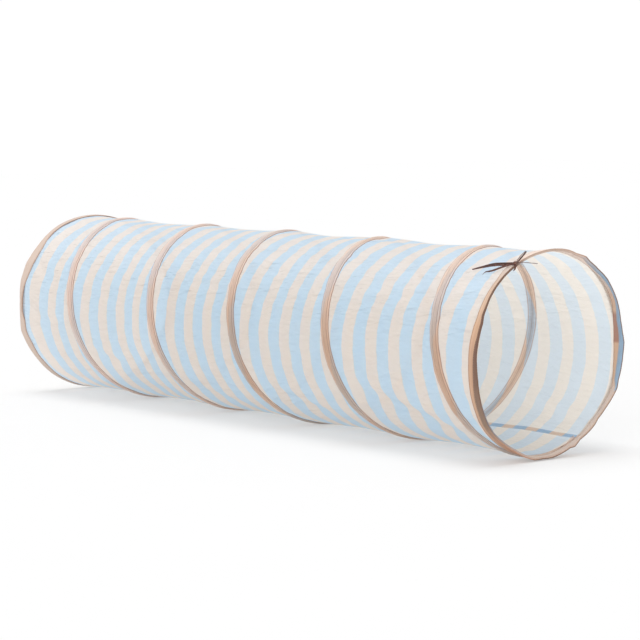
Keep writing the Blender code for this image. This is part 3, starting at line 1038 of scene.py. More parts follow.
@dataclass(frozen=True)
class TapeFinish:
    """Tan binding tape of the casing and the hems, lengths in metres."""

    tan: Colour = srgb(216, 178, 150)
    grey: Colour = srgb(200, 182, 168)
    # Lit copies of the tape colours, painted light: paler along the top, on the underside and on
    # the far side seen from inside (inside_grey too).
    top_painted_light_tan: Colour = srgb(246, 222, 206)
    top_painted_light_grey: Colour = srgb(236, 218, 210)
    underside_painted_light_tan: Colour = srgb(232, 202, 180)
    underside_painted_light_grey: Colour = srgb(220, 202, 188)
    far_side_painted_light_tan: Colour = srgb(250, 216, 190)
    inside_grey: Colour = srgb(222, 228, 236)
    pale: Colour = srgb(250, 228, 218)
    # Brown of the painted shade at the tapes' folded edges and along the stitch lines.
    edge: Colour = srgb(164, 112, 86)
    stitch: Colour = srgb(150, 100, 74)
    rim_tan: Colour = srgb(208, 170, 140)
    rim_mark: Colour = srgb(190, 150, 122)
    # Hem tape: a painted highlight line, painted shade in brown, a greyer tone, and painted light
    # where the grey chart goes above 1.
    rim_painted_highlight: Colour = srgb(222, 188, 158)
    rim_painted_shade_brown: Colour = srgb(165, 112, 92)
    rim_grey: Colour = srgb(208, 190, 178)
    rim_painted_light: Colour = srgb(246, 224, 210)
    # Where the painted light of the underside and of the far side lies, in metres round the girth.
    under_arc: tuple[float, float] = (2.30, 2.42)
    inside_arc: tuple[float, float] = (1.56, 1.68)
    pale_end: tuple[float, float] = (0.30, 1.00)
    stitch_line: float = 0.0062
    rim_stitch_line: float = 0.0030
    see_through: float = 0.45
    sheer: float = 0.06
    roughness: float = 0.80
    specular: float = 0.25
    sheen: float = 0.10
    thread: float = 0.0006
    thread_shade: float = 0.08
    thread_height: float = 0.00009
    stitch_height: float = 0.0005
    wear: float = 0.14
    rim_wear: float = 0.16
    pucker_height: float = 0.0007
    rim_pucker_height: float = 0.0009


@dataclass(frozen=True)
class LipFinish:
    """Narrow cloth edge over the front hoop: its brown outside and steel blue inside are painted
    shade; its other tones paint less shade and, where paler still, painted light.
    """

    brown: Colour = srgb(112, 80, 68)
    lip_painted_shade_olive: Colour = srgb(150, 126, 108)
    tan: Colour = srgb(202, 158, 132)
    pale: Colour = srgb(214, 190, 176)
    blue: Colour = srgb(148, 172, 194)
    stitch: Colour = srgb(196, 168, 140)
    stitch_line: float = 0.0030
    stitch_length: float = 0.0055
    stitch_width: float = 0.0008
    stitch_height: float = 0.0005
    roughness: float = 0.72
    specular: float = 0.3
    sheen: float = 0.0
    thread: float = 0.0007
    thread_shade: float = 0.16
    thread_height: float = 0.00012
    wear: float = 0.30


@dataclass(frozen=True)
class RibbonFinish:
    """Satin ribbon of the bow."""

    brown: Colour = srgb(82, 43, 32)
    # Colour of the painted sheen patches on the satin.
    painted_sheen_colour: Colour = srgb(160, 102, 72)
    roughness: float = 0.38
    sheen: float = 0.3
    thread_height: float = 0.00008


@dataclass(frozen=True)
class SteelFinish:
    """Drawn spring wire and the crimped sleeves."""

    wire: Colour = srgb(150, 152, 156)
    sleeve: Colour = srgb(190, 192, 196)
    roughness: float = 0.34
    line_height: float = 0.00003


WovenFinish = ClothFinish | TapeFinish | LipFinish


class Look(Graph):
    """A material under way: its nodes round its Principled shader."""

    def __init__(self, name: str) -> None:
        """Makes the material.

        Args:
            name: its name.
        """
        self.material = bpy.data.materials.new(name)
        self.material.use_nodes = True
        super().__init__(self.material.node_tree)
        self.shader = self.tree.nodes["Principled BSDF"]
        self.output = self.tree.nodes["Material Output"]


class WovenLook(Look):
    """A woven material under way: threads, wear and stitches over its colours."""

    def __init__(self, name: str, effects: Effects, finish: WovenFinish, wear: float,
                 threads_on: str = "cloth") -> None:
        """Reads the charts and lays the threads and the wear.

        Args:
            name: name of the material.
            effects: the shared groups.
            finish: the finish.
            wear: how strong the wear is.
            threads_on: name of the chart that the threads lie square to.
        """
        super().__init__(name)
        self.effects, self.finish = effects, finish
        self.place = self.chart("cloth")
        self.across, self.along, _ = self.split(self.place)
        self.weave = self.group(effects.weave, Place=self.chart(threads_on), Pitch=finish.thread)
        self.wear = self.group(effects.wear, Place=self.place, Amount=wear)

    def threads(self, colour: Socket) -> Socket:
        """A colour shaded by the threads and the wear."""
        shade = self.less(self.weave["Shade"], 0.6)
        return self.shaded(colour, self.scaled(shade, self.finish.thread_shade, self.wear["Value"]))

    def sewn(self, colour: Socket, off: Socket, most: float,
             **sizes: float) -> tuple[Socket, Socket]:
        """Lays a row of stitches on a colour, with threads and wear over both.

        Args:
            colour: the colour.
            off: distance to the row.
            most: how much of the stitches' own colour shows.
            **sizes: length and width of a stitch, where they aren't the usual ones.

        Returns:
            The colour and the stitches' height.
        """
        row = self.group(self.effects.stitches, Along=self.across, Off=off, **sizes)
        colour = self.over(colour, self.finish.stitch, row["Mask"], most)
        return self.threads(colour), row["Height"]

    def dress(self, colour: Socket, *bumps: tuple[Socket, float, float],
              thin: bool = False) -> Material:
        """Sets the shader.

        Args:
            colour: the colour.
            *bumps: height, metres for a height of 1, and strength of each relief.
            thin: whether light comes through.

        Returns:
            The material.
        """
        normal, finish = self.bumps(*bumps), self.finish
        self.fill(self.shader, Base_Color=colour, Roughness=finish.roughness,
                  Specular_IOR_Level=finish.specular, Sheen_Weight=finish.sheen, Normal=normal)
        if thin:
            self.let_through(colour, normal)
        return self.material

    def let_through(self, colour: Socket, normal: Socket) -> None:
        """Lets light through: the face that it meets scatters it, the far one not.

        Args:
            colour: colour of the layer.
            normal: its normal.
        """
        through = self.fill(self.add("ShaderNodeBsdfTranslucent"),
                            Color=self.mix(0.45, colour, WHITE), Normal=normal)
        blend = self.row(self.add("ShaderNodeMixShader"), self.finish.see_through,
                         self.shader.outputs[0], through.outputs[0])
        clear = self.add("ShaderNodeBsdfTransparent").outputs[0]
        facing = self.add("ShaderNodeNewGeometry").outputs["Backfacing"]
        both = self.row(self.add("ShaderNodeMixShader"),
                        self.math('MAXIMUM', facing, self.finish.sheer), blend, clear)
        self.fill(self.output, Surface=both)


class Materials:
    """All materials of the tunnel."""

    def __init__(self, effects: Effects) -> None:
        """Builds them.

        Args:
            effects: the shared groups.
        """
        self.effects = effects
        cloth, steel = ClothFinish(), SteelFinish()
        self.cloth_outer = self.striped("striped_cloth_outer", cloth, cloth.blue, cloth.cream)
        self.cloth_inner = self.striped("striped_cloth_inner", cloth, cloth.inner_painted_light_blue,
                                        cloth.inner_painted_light_cream, True)
        # The seam allowance: the same stripes painted darker, as shade.
        self.seam_cloth = self.striped("seam_cloth", cloth, cloth.seam_painted_shade_blue, cloth.seam_painted_shade_cream)
        self.casing_tape = self.sewn_tape("casing_tape", TapeFinish())
        self.hem_tape = self.rim_tape("hem_tape", TapeFinish())
        self.lip_outer = self.rim_lip("front_lip_outer", LipFinish(), True)
        self.lip_inner = self.rim_lip("front_lip_inner", LipFinish(), False)
        self.bow_ribbon = self.satin("bow_ribbon", RibbonFinish())
        self.wire_steel = self.metal("drawn_wire", steel, steel.wire)
        self.sleeve_metal = self.metal("crimped_sleeve", steel, steel.sleeve)

    def striped(self, name: str, cloth: ClothFinish, blue: Colour, cream: Colour,
                inner: bool = False) -> Material:
        """Striped cloth, thin enough that light comes through.

        Args:
            name: name of the material.
            cloth: the finish.
            blue: colour of the blue stripes.
            cream: colour of the cream stripes.
            inner: whether this is the inner face, where the casing's shade is painted as it shows
                through.

        Returns:
            The material.
        """
        look = WovenLook(name, self.effects, cloth, cloth.wear)
        stripes = look.group(self.effects.stripes, Place=look.place)
        colour = look.mix(stripes["Mask"], cream, blue)
        # Painted light: the stripes turn paler along the top of the near side.
        if not inner:
            pale = look.mix(stripes["Mask"], cloth.top_painted_light_cream, cloth.top_painted_light_blue)
            colour = look.mix(stripes["Upper"], colour, pale)
        colour, height = look.threads(colour), look.weave["Height"]
        if inner:
            back, front, _ = look.split(look.chart("bay"))
            shown = look.group(self.effects.band, Back=back, Front=front)
            row = look.group(self.effects.stitches, Along=look.across, Off=shown["Stitch Off"])
            casing_shade_painted = look.mix(stripes["Mask"], cloth.casing_shade_painted_cream, cloth.casing_shade_painted_blue)
            # Painted shade of the casing seen through the cloth: its tinted stripe, and darker
            # lines at its edges and along the wire in the stitch colour; the stitch row is real.
            for top, mask, most in ((casing_shade_painted, shown["Band"], 0.85), (cloth.stitch, shown["Edge"], 0.62),
                                    (cloth.stitch, shown["Centre"], 0.35),
                                    (cloth.stitch, row["Mask"], 0.6)):
                colour = look.over(colour, top, mask, most)
            height = look.scaled(row["Height"], 0.5, height)
        crumple = look.grain(look.across, look.along, 55.0, 16.0, 3.0, 0.6)
        wrinkles = look.group(self.effects.wrinkles, Place=look.place)["Height"]
        return look.dress(colour, (crumple, cloth.crumple_height, 1.0),
                          (wrinkles, cloth.wrinkle_height, 1.0),
                          (height, cloth.thread_height, 0.5), thin=True)

    def sewn_tape(self, name: str, tape: TapeFinish) -> Material:
        """Casing tape over the spring, with two rows of stitches, painted shade at its folded edges
        and along its stitch lines, and painted light on its top, underside and far side.

        Args:
            name: name of the material.
            tape: the finish.

        Returns:
            The material.
        """
        look = WovenLook(name, self.effects, tape, tape.wear, "bay")
        off = look.split(look.chart("bay"))[1]
        stripes = look.group(self.effects.stripes, Place=look.place)
        away = look.math('ABSOLUTE', off)
        # Painted light: lit copies of the tape colours along the top, on the underside and on the
        # far side.
        high = look.within(look.across, TAPE_TOP)
        under = look.ramp(look.across, *tape.under_arc)
        inside = look.fade(look.across, *tape.inside_arc)
        warm, cool = (
            look.mix(inside, look.mix(under, look.mix(high, plain, upper), below), far_side)
            for plain, upper, below, far_side in (
                (tape.tan, tape.top_painted_light_tan, tape.underside_painted_light_tan, tape.far_side_painted_light_tan),
                (tape.grey, tape.top_painted_light_grey, tape.underside_painted_light_grey, tape.inside_grey)))
        colour = look.over(warm, cool, stripes["Mask"], 0.55)
        colour = look.mix(look.fade(look.along, *tape.pale_end, 0.70), colour, tape.pale)
        # Painted shade: the folded edges and the lines along the stitches darken, more so towards
        # the underside.
        colour = look.mix(look.ramp(away, 0.0118, 0.0138), colour, tape.edge)
        painted_groove_shade = look.fade(look.away(away, tape.stitch_line), 0.0004, 0.0016)
        colour = look.over(colour, tape.edge, painted_groove_shade, look.scaled(high, -0.32, 0.56))
        colour, stitches = look.sewn(colour, look.less(away, tape.stitch_line), 0.75)
        pucker = look.grain(look.across, off, 150.0, 40.0, 2.0)
        return look.dress(colour, (pucker, tape.pucker_height, 0.5),
                          (stitches, tape.stitch_height, 0.8),
                          (look.weave["Height"], tape.thread_height, 0.5), thin=True)

    def rim_tape(self, name: str, tape: TapeFinish) -> Material:
        """Tan tape of the hems, with one row of stitches near its edge, a painted highlight line,
        painted shade at its edges, and painted shade and light round the rim.

        Args:
            name: name of the material.
            tape: the finish.

        Returns:
            The material.
        """
        look = WovenLook(name, self.effects, tape, tape.rim_wear)
        brown, grey, _ = look.split(look.chart("tint"))
        nearest = look.math('MINIMUM', look.along, look.split(look.chart("bay"))[0])
        # Painted highlight: a paler line along the fold of the hem tape.
        painted_highlight_line = look.fade(look.away(look.along, 0.008), 0.001, 0.005, 0.6)
        colour = look.over(tape.rim_tan, tape.rim_mark, look.wear["Mark"], 0.4)
        # Painted shade from the tint chart, a greyer tone, painted light above a grey of 1, and
        # painted shade at the tape's edges.
        for top, mask in ((tape.rim_painted_highlight, painted_highlight_line), (tape.rim_painted_shade_brown, brown), (tape.rim_grey, grey),
                          (tape.rim_painted_light, look.ramp(grey, 1.0, 2.0)),
                          (tape.edge, look.fade(nearest, 0.0005, 0.0015))):
            colour = look.mix(mask, colour, top)
        colour, stitches = look.sewn(colour, look.less(nearest, tape.rim_stitch_line), 0.7)
        pucker = look.grain(look.across, look.along, 130.0, 50.0, 2.0)
        return look.dress(colour, (pucker, tape.rim_pucker_height, 0.5),
                          (stitches, tape.stitch_height, 0.8),
                          (look.weave["Height"], tape.thread_height, 0.5))

    def rim_lip(self, name: str, lip: LipFinish, outside: bool) -> Material:
        """The lip over the front hoop, painted in shade and light by angle round the rim.

        Args:
            name: name of the material.
            lip: the finish.
            outside: whether this is the outer face, painted brown as shade, and not the inner one,
                painted blue as shade.

        Returns:
            The material.
        """
        look = WovenLook(name, self.effects, lip, lip.wear)
        tint, grey, _ = look.split(look.chart("tint"))
        # Painted shade and light: brown and blue are the cloth edge in shade, and the tint and grey
        # charts turn it lighter round the rim.
        if outside:
            colour, off = look.mix(tint, lip.brown, lip.lip_painted_shade_olive), look.along
            colour = look.mix(look.ramp(grey, 0.0, 1.0), colour, lip.tan)
            colour = look.mix(look.ramp(grey, 1.0, 2.0), colour, lip.pale)
        else:
            colour = look.mix(grey, look.mix(tint, lip.blue, lip.brown), lip.pale)
            off = look.split(look.chart("bay"))[0]
        colour, stitches = look.sewn(colour, look.less(off, lip.stitch_line), 0.45,
                                     Length=lip.stitch_length, Width=lip.stitch_width)
        return look.dress(colour, (stitches, lip.stitch_height, 0.8),
                          (look.weave["Height"], lip.thread_height, 0.6))

    @staticmethod
    def satin(name: str, ribbon: RibbonFinish) -> Material:
        """Satin ribbon: fine lengthwise threads with a soft sheen, partly from the shader and
        partly painted as patches of a lighter colour.

        Args:
            name: name of the material.
            ribbon: the finish.

        Returns:
            The material.
        """
        look = Look(name)
        place = look.chart("cloth")
        across, along, _ = look.split(place)
        thread = look.grain(across, along, 4200.0, 120.0, 2.0)
        # Painted sheen: noise patches turn the ribbon towards a lighter colour.
        painted_shine = look.ramp(look.noise(place, 90.0, 2.0), 0.50, 0.72, 0.0, 0.45)
        colour = look.shaded(look.mix(painted_shine, ribbon.brown, ribbon.painted_sheen_colour),
                             look.scaled(thread, 0.3, 0.85))
        look.fill(look.shader, Base_Color=colour, Sheen_Weight=ribbon.sheen,
                  Roughness=look.scaled(thread, 0.15, ribbon.roughness),
                  Normal=look.bumps((thread, ribbon.thread_height, 0.6)))
        return look.material

    @staticmethod
    def metal(name: str, steel: SteelFinish, base: Colour) -> Material:
        """Drawn or pressed metal with fine lines along it.

        Args:
            name: name of the material.
            steel: the finish.
            base: its colour.

        Returns:
            The material.
        """
        look = Look(name)
        place = look.add("ShaderNodeTexCoord").outputs["Object"]
        lines, dull = (look.noise(place, scale, 3.0) for scale in (900.0, 60.0))
        colour = look.shaded(base, look.scaled(look.less(dull, 0.5), 0.3, 1.0))
        look.fill(look.shader, Base_Color=colour, Metallic=1.0,
                  Roughness=look.scaled(dull, 0.25, steel.roughness - 0.1),
                  Normal=look.bumps((lines, steel.line_height, 0.4)))
        return look.material


@dataclass
class Cloth:
    """The striped tube, one bay of cloth between each two turns of the spring, and its seam."""

    finishes: Materials
    columns: int = 300
    rows: int = 56
    wedge_rows: int = 42
    gap: float = 0.05 * MM
    near_seam: tuple[float, ...] = (0, 1.0, 2.0, 3.2)
    seam_dip: float = 0.9 * MM
    seam_dip_width: float = 2.2 * MM
    wedge_share: float = 0.49
    allowance_rows: int = 150
    allowance: tuple[float, ...] = (0.0, 0.4, 1.2, 2.6, 4.0, 5.2, 6.6, 8.0, 9.4, 10.6, 11.2, 11.5)
    allowance_gap: float = 0.25 * MM
    allowance_thickness: float = 1.0 * MM
    tuck: float = 0.5
    puff: float = 0.35
    puff_share: float = 0.6
    stitch_wave: float = 19 * MM
    nodes: tuple[str, ...] = ("fabric_back_wedge", "fabric_bay_1", "fabric_bay_2", "fabric_bay_3",
                              "fabric_bay_4", "fabric_front_wedge")
    bodies: tuple[str, ...] = ("back_end", "turn_2", "turn_3", "turn_4", "turn_5", "front_end")

    def build(self) -> list[Piece]:
        """Makes the bays and the lengthwise seam inside them."""
        bays = [self.bay(bay) for bay in range(TUNNEL.turns + 1)]
        return bays + [self.seam(bay) for bay in range(1, TUNNEL.turns + 1)]

    @staticmethod
    def grid(angle: Array, back: Array, front: Array, gap: float,
             rows: int) -> tuple[Array, Array]:
        """Even grid of places and angles that keeps a gap to a back and a front edge."""
        steps = (front - back - 2 * gap)[:, None] * np.linspace(0, 1, rows)[None, :]
        return back[:, None] + gap + steps, over_rows(angle, rows)

    def radius_at(self, bay: int, x: Array, angle: Array) -> Array:
        """Radius of the outer face, rolled in a little along the lengthwise seam.

        Args:
            bay: the bay.
            x: places from the back face.
            angle: angles in radians.

        Returns:
            Radii in metres.
        """
        radius = SURFACE.cloth_radius(x, angle, *SURFACE.bay_edges(bay, angle))
        turned = (angle - TUNNEL.seam_angle + math.pi) % FULL - math.pi
        away = np.abs(turned) * TUNNEL.radius
        return radius - self.seam_dip * np.exp(-(away / self.seam_dip_width) ** 2)

    def bay(self, bay: int) -> Piece:
        """Makes one bay.

        Args:
            bay: 0 for the back wedge to 5 for the front wedge.

        Returns:
            The object.
        """
        near = np.array(self.near_seam) * MM / TUNNEL.radius
        even = np.linspace(near[-1], FULL - near[-1], self.columns)
        edge = self.gap / TUNNEL.radius
        turn = np.concatenate([[edge], near[1:-1], even, FULL - near[1:-1][::-1], [FULL - edge]])
        angle = TUNNEL.seam_angle + turn
        back, front = SURFACE.bay_edges(bay, angle)
        whole = 0 < bay < TUNNEL.turns
        x, spread = self.grid(angle, back, front, self.gap, self.rows if whole else self.wedge_rows)
        radius = self.radius_at(bay, x, spread)
        shell = Shell(self.nodes[bay].replace("fabric", "cloth"),
                      SURFACE.point(x, spread, radius),
                      SURFACE.point(x, spread, radius - TUNNEL.cloth_thickness))
        far = np.ones_like(x)
        shell.chart("cloth", spread * TUNNEL.radius, SURFACE.stripe_place(x, spread))
        shell.chart("bay", x - back[:, None] if bay > 0 else far,
                    front[:, None] - x if bay < TUNNEL.turns else far)
        made = shell.build(self.finishes.cloth_outer, self.finishes.cloth_inner)
        settle(made, self.bodies[bay], self.nodes[bay], bay)
        return made

    def seam(self, bay: int) -> Piece:
        """Makes the seam allowance inside a bay, folded to one side and sewn down.

        Args:
            bay: 1 to 5.

        Returns:
            The object.
        """
        arc = np.array(self.allowance) * MM
        angle = TUNNEL.seam_angle + arc / TUNNEL.cloth_radius
        low = (round_table(BACK_TAPE_INSIDE, angle) + self.tuck) * MM
        high = TUNNEL.length - (round_table(FRONT_TAPE_INSIDE, angle) + self.tuck) * MM
        back, front = (np.clip(edge, low, high) for edge in SURFACE.bay_edges(bay, angle))
        x, spread = self.grid(angle, back, front, 2 * self.gap, self.allowance_rows)
        loose = np.sin(math.pi * np.clip(arc / arc[-1], 0, 1))[:, None]
        puff = (self.puff + self.puff * np.sin(x * FULL / self.stitch_wave)) * loose * MM
        top = (self.radius_at(bay, x, spread) - (TUNNEL.cloth_thickness + self.allowance_gap)
               - puff * self.puff_share)
        shell = Shell(f"seam_strip_{bay}", SURFACE.point(x, spread, top),
                      SURFACE.point(x, spread, top - self.allowance_thickness))
        shell.chart("cloth", spread * TUNNEL.radius, SURFACE.stripe_place(x, spread))
        shell.chart("bay", np.ones_like(x), np.ones_like(x))
        made = shell.build(self.finishes.seam_cloth)
        return settle(made, self.bodies[bay], f"seam_allowance_{bay}", bay)


@dataclass
class Casing:
    """The tape sewn over the spring, one piece for each turn.

    Its profile is in millimetres: the flange from its edge inwards, the ridge from the
    middle outwards, and the height of its top over the cloth at all of these.
    """

    finishes: Materials
    columns: int = 360
    half_width: float = 14.3 * MM
    flange: tuple[float, ...] = (0, 0.35, 1.2, 2.6, 4.2, 5.4)
    ridge: tuple[float, ...] = (7.6, 6.9, 6.2, 5.5, 4.9, 4.2, 3.4, 2.6, 1.8, 0.9)
    heights: tuple[float, ...] = (0.45, 0.95, 1.25, 1.30, 1.25, 1.00, 0.95, 0.85, 0.62, 0.95, 1.45,
                                  2.20, 3.05, 3.65, 3.98, 4.10)
    crest: float = 4.15
    ridge_foot: float = 5.2
    thickness: float = 0.75
    lift: float = 0.12
    least: float = 0.3 * MM
    least_shown: float = 1 * MM
    tuck: float = 0.3
    end_gap: float = 0.0002
    wander: Unevenness = Unevenness(9, 7, 21)
    wander_share: float = 0.03
    ripple: Unevenness = Unevenness(30, 42, 22)
    ripple_share: float = 0.10
    ripple_height: float = 0.16 * MM
    bodies: tuple[str, ...] = ("back_end", "turn_2", "turn_3", "turn_4", "turn_5")

    def build(self) -> list[Piece]:
        """Makes the five turns."""
        return [self.turn(turn) for turn in range(1, TUNNEL.turns + 1)]

    def profile(self) -> tuple[Array, Array, Array]:
        """Cross-section of the tape.

        Returns:
            Offsets from the wire, heights of the top and of the underside, in metres.
        """
        side = np.concatenate([self.half_width / MM - np.array(self.flange), self.ridge])
        top = np.array(self.heights)
        offset = np.concatenate([-side, [0.0], side[::-1]])
        height = np.concatenate([top, [self.crest], top[::-1]])
        under = np.maximum(height - self.thickness, self.lift)
        under = np.where(np.abs(offset) > self.ridge_foot, self.lift, under)
        return offset * MM, height * MM, under * MM

    def turn(self, turn: int) -> Piece:
        """Makes one turn of the casing.

        Args:
            turn: 1 for the turn at the back end to 5.

        Returns:
            The object.
        """
        offset, height, under = self.profile()
        angle = TUNNEL.seam_angle + np.linspace(self.end_gap, FULL - self.end_gap, self.columns)
        wire = SURFACE.wire_x(TUNNEL.station_of(angle) + (turn - 1) * TUNNEL.facets)
        low = (round_table(BACK_TAPE_OUTSIDE, angle) + self.tuck) * MM
        high = TUNNEL.length - (round_table(FRONT_TAPE_OUTSIDE, angle) + self.tuck) * MM
        shown = ((wire + self.half_width > low + self.least_shown)
                 & (wire - self.half_width < high - self.least_shown))
        wander = self.wander.at(wire, angle)[shown]
        wire, angle, low, high = wire[shown], angle[shown], low[shown], high[shown]
        spread = over_rows(angle, len(offset))
        x = wire[:, None] + offset[None, :] * (1 + self.wander_share * wander[:, None])
        base = self.cloth_under(turn, x, spread)
        ripple = self.ripple.at(x, spread)
        rise = height[None, :] * (1 + self.ripple_share * ripple) + self.ripple_height * ripple
        top = SURFACE.on_floor(base + rise, spread, 0.0)
        bottom = np.minimum(base + under[None, :], top - self.least)
        held = np.clip(x, low[:, None], high[:, None])
        shell = Shell(f"casing_tape_{turn}", SURFACE.point(held, spread, top),
                      SURFACE.point(held, spread, bottom))
        shell.chart("cloth", spread * TUNNEL.radius, SURFACE.stripe_place(held, spread))
        shell.chart("bay", spread * TUNNEL.radius, held - wire[:, None])
        made = shell.build(self.finishes.casing_tape)
        return settle(made, self.bodies[turn - 1], f"casing_turn_{turn}", turn - 1)

    @staticmethod
    def cloth_under(turn: int, x: Array, angle: Array) -> Array:
        """Radius of the cloth below the tape, from the bay on each side of the spring.

        Args:
            turn: the turn.
            x: places from the back face.
            angle: angles in radians.

        Returns:
            Radii in metres.
        """
        behind, before = (SURFACE.bay_edges(bay, angle) for bay in (turn - 1, turn))
        return np.where(x < before[0], SURFACE.cloth_radius(x, angle, *behind),
                        SURFACE.cloth_radius(x, angle, *before))


@dataclass
class Spring:
    """The spring wire: two end hoops and the helix between them, in one length."""

    finishes: Materials
    overlap: float = 0.019
    rings: int = 1050
    sides: int = 10
    leaving_stations: float = 3
    clearance: float = 3.2 * MM

    def build(self) -> list[Piece]:
        """Makes the wire.

        Returns:
            The object, in a list as the other assemblies give theirs.
        """
        size = TUNNEL
        first = 0.5 - self.overlap / (FULL / size.facets * size.wire_line_radius) - size.facets
        station = np.linspace(first, size.last_station - first, self.rings)
        x = self.place(station)
        angle = size.station_angle(station)
        wave = SURFACE.ridge_wave(x, angle) + SURFACE.rim_offset(x, angle)
        radius = SURFACE.on_floor(size.wire_line_radius + wave, angle, self.clearance)
        line = SURFACE.point(x, angle, radius)
        outward = np.stack([np.zeros_like(angle), np.cos(angle), np.sin(angle)], axis=-1)
        _, outward, aside = line_frame(line, outward)
        sides = np.linspace(0, FULL, self.sides, endpoint=False)
        ring = (outward[:, None, :] * np.cos(sides)[None, :, None]
                + aside[:, None, :] * np.sin(sides)[None, :, None])
        wire = self.tube("spring_steel_wire", line[:, None, :] + ring * (size.wire_diameter / 2))
        wire.data.materials.append(self.finishes.wire_steel)
        return [settle(wire, "back_end", "spring_wire", 0)]

    def place(self, station: Array) -> Array:
        """Place of the wire's centre along the tunnel, end hoops included.

        Args:
            station: station counts, below 0 on the back hoop.

        Returns:
            Places from the back face.
        """
        size = TUNNEL
        forward = station < size.last_station / 2
        near = np.where(forward, station, size.last_station - station)
        leaving = smooth_step(1 + near / self.leaving_stations)
        hoop = size.hoop_x + (size.leaving_x - size.hoop_x) * leaving
        hoop = np.where(forward, hoop, size.length - hoop)
        return np.where(near < 0, hoop, SURFACE.wire_x(station))

    @staticmethod
    def tube(name: str, points: Array) -> Piece:
        """Makes a closed tube.

        Args:
            name: name of the piece.
            points: rings of points along the tube.

        Returns:
            The object.
        """
        rings, sides = points.shape[:2]
        faces = []
        for start in range(0, (rings - 1) * sides, sides):
            for side in range(sides):
                this, following = start + side, start + (side + 1) % sides
                faces.append((this, following, following + sides, this + sides))
        last = (rings - 1) * sides
        faces += [tuple(range(sides))[::-1], tuple(range(last, last + sides))]
        mesh = bpy.data.meshes.new(name)
        mesh.from_pydata(points.reshape(-1, 3).tolist(), [], faces)
        mesh.shade_smooth()
        return link(name, mesh)


@dataclass
class Ferrules:
    """The two crimped sleeves that close the spring's end hoops, hidden in the hems."""

    finishes: Materials
    length: float = 26 * MM
    half_pair: float = 1.35 * MM
    reach: float = 1.6 * MM
    wall: float = 0.4 * MM
    girth: float = 9.0 * MM
    crimps: tuple[float, ...] = (-7.5 * MM, 0.0, 7.5 * MM)
    crimp_depth: float = 0.16
    crimp_width: float = 1.6 * MM
    flank: float = 4
    clearance: float = 3.2 * MM
    rows: int = 33
    columns: int = 20

    def build(self) -> list[Piece]:
        """Makes both sleeves."""
        back, front = TUNNEL.hoop_x + self.half_pair, TUNNEL.length - TUNNEL.hoop_x - self.half_pair
        return [self.sleeve("back", 0, back), self.sleeve("front", TUNNEL.turns, front)]

    def sleeve(self, end: str, turn: int, x: float) -> Piece:
        """Makes one sleeve along the hoop's lowest stretch.

        Args:
            end: the end it is at, back or front.
            turn: passed on to settle, which gives the sleeve a mesh of its own.
            x: its place from the back face.

        Returns:
            The object.
        """
        size = TUNNEL
        run = np.linspace(-self.length / 2, self.length / 2, self.rows)
        side = np.linspace(0, FULL, self.columns + 1)[:-1]
        pinch = np.ones_like(run)
        for crimp in self.crimps:
            pinch -= self.crimp_depth * np.exp(-((run - crimp) / self.crimp_width) ** 2)
        angle = size.floor_angle + run / size.wire_line_radius
        offset = SURFACE.rim_offset(np.full_like(angle, x), angle)
        line = SURFACE.on_floor(size.wire_line_radius + offset, angle, self.clearance)
        cosine = np.cos(side)
        across = self.half_pair * np.sign(cosine) * np.minimum(np.abs(cosine) * self.flank, 1)
        faces = []
        for reach in (self.reach, self.reach - self.wall):
            wide = x + across[:, None] + reach * cosine[:, None] * pinch[None, :]
            high = line[None, :] + reach * np.sin(side)[:, None] * pinch[None, :]
            faces.append(SURFACE.point(wide, np.repeat(angle[None, :], len(side), axis=0), high))
        shell = Shell(f"{end}_crimped_sleeve", faces[0], faces[1], True)
        wrapped = np.linspace(0, self.girth, len(side) + 1)
        shell.chart("cloth", over_rows(wrapped, len(run)),
                    np.repeat(run[None, :], len(wrapped), axis=0))
        made = shell.build(self.finishes.sleeve_metal)
        return settle(made, f"{end}_end", f"{end}_ferrule", turn)


@dataclass(frozen=True)
class Fold:
    """Tape folded round a rim, from its outer edge round the hoop to its inner edge.

    A leg's stops are a share of its reach, millimetres beyond that, and the rise over the
    tunnel's radius. The nose's stops are millimetres from the rim's face and the rise.
    """

    outer_leg: Stops
    nose: Stops
    inner_leg: Stops
    outer_reach: Stops
    inner_reach: Stops
    # Stops by degrees round the rim for the tint and grey charts, which paint shade and light on
    # the hem and lip.
    outside_tint: Stops = ((0, 0), (180, 0))
    inside_tint: Stops = ((0, 0), (180, 0))
    outside_grey: Stops = ((0, 0), (180, 0))
    inside_grey: Stops = ((0, 0), (180, 0))
    thickness: float = 0.6
    clearance: float = 0.9

    @property
    def nose_row(self) -> int:
        """Row of the outline at which the nose's face starts."""
        return len(self.outer_leg) + 2

    def outline(self, angle: Array) -> tuple[Array, Array]:
        """The outline at angles round the rim.

        Args:
            angle: angles in radians.

        Returns:
            Distances from the rim's face and rises in metres, by angle and stop.
        """
        outer, inner = (round_table(reach, angle) for reach in (self.outer_reach, self.inner_reach))
        behind = ([outer * share + beyond for share, beyond, _ in self.outer_leg]
                  + [np.full_like(angle, place) for place, _ in self.nose]
                  + [inner * share + beyond for share, beyond, _ in self.inner_leg])
        rise = [np.full_like(angle, stop[-1])
                for stop in self.outer_leg + self.nose + self.inner_leg]
        return np.stack(behind, axis=1) * MM, np.stack(rise, axis=1) * MM


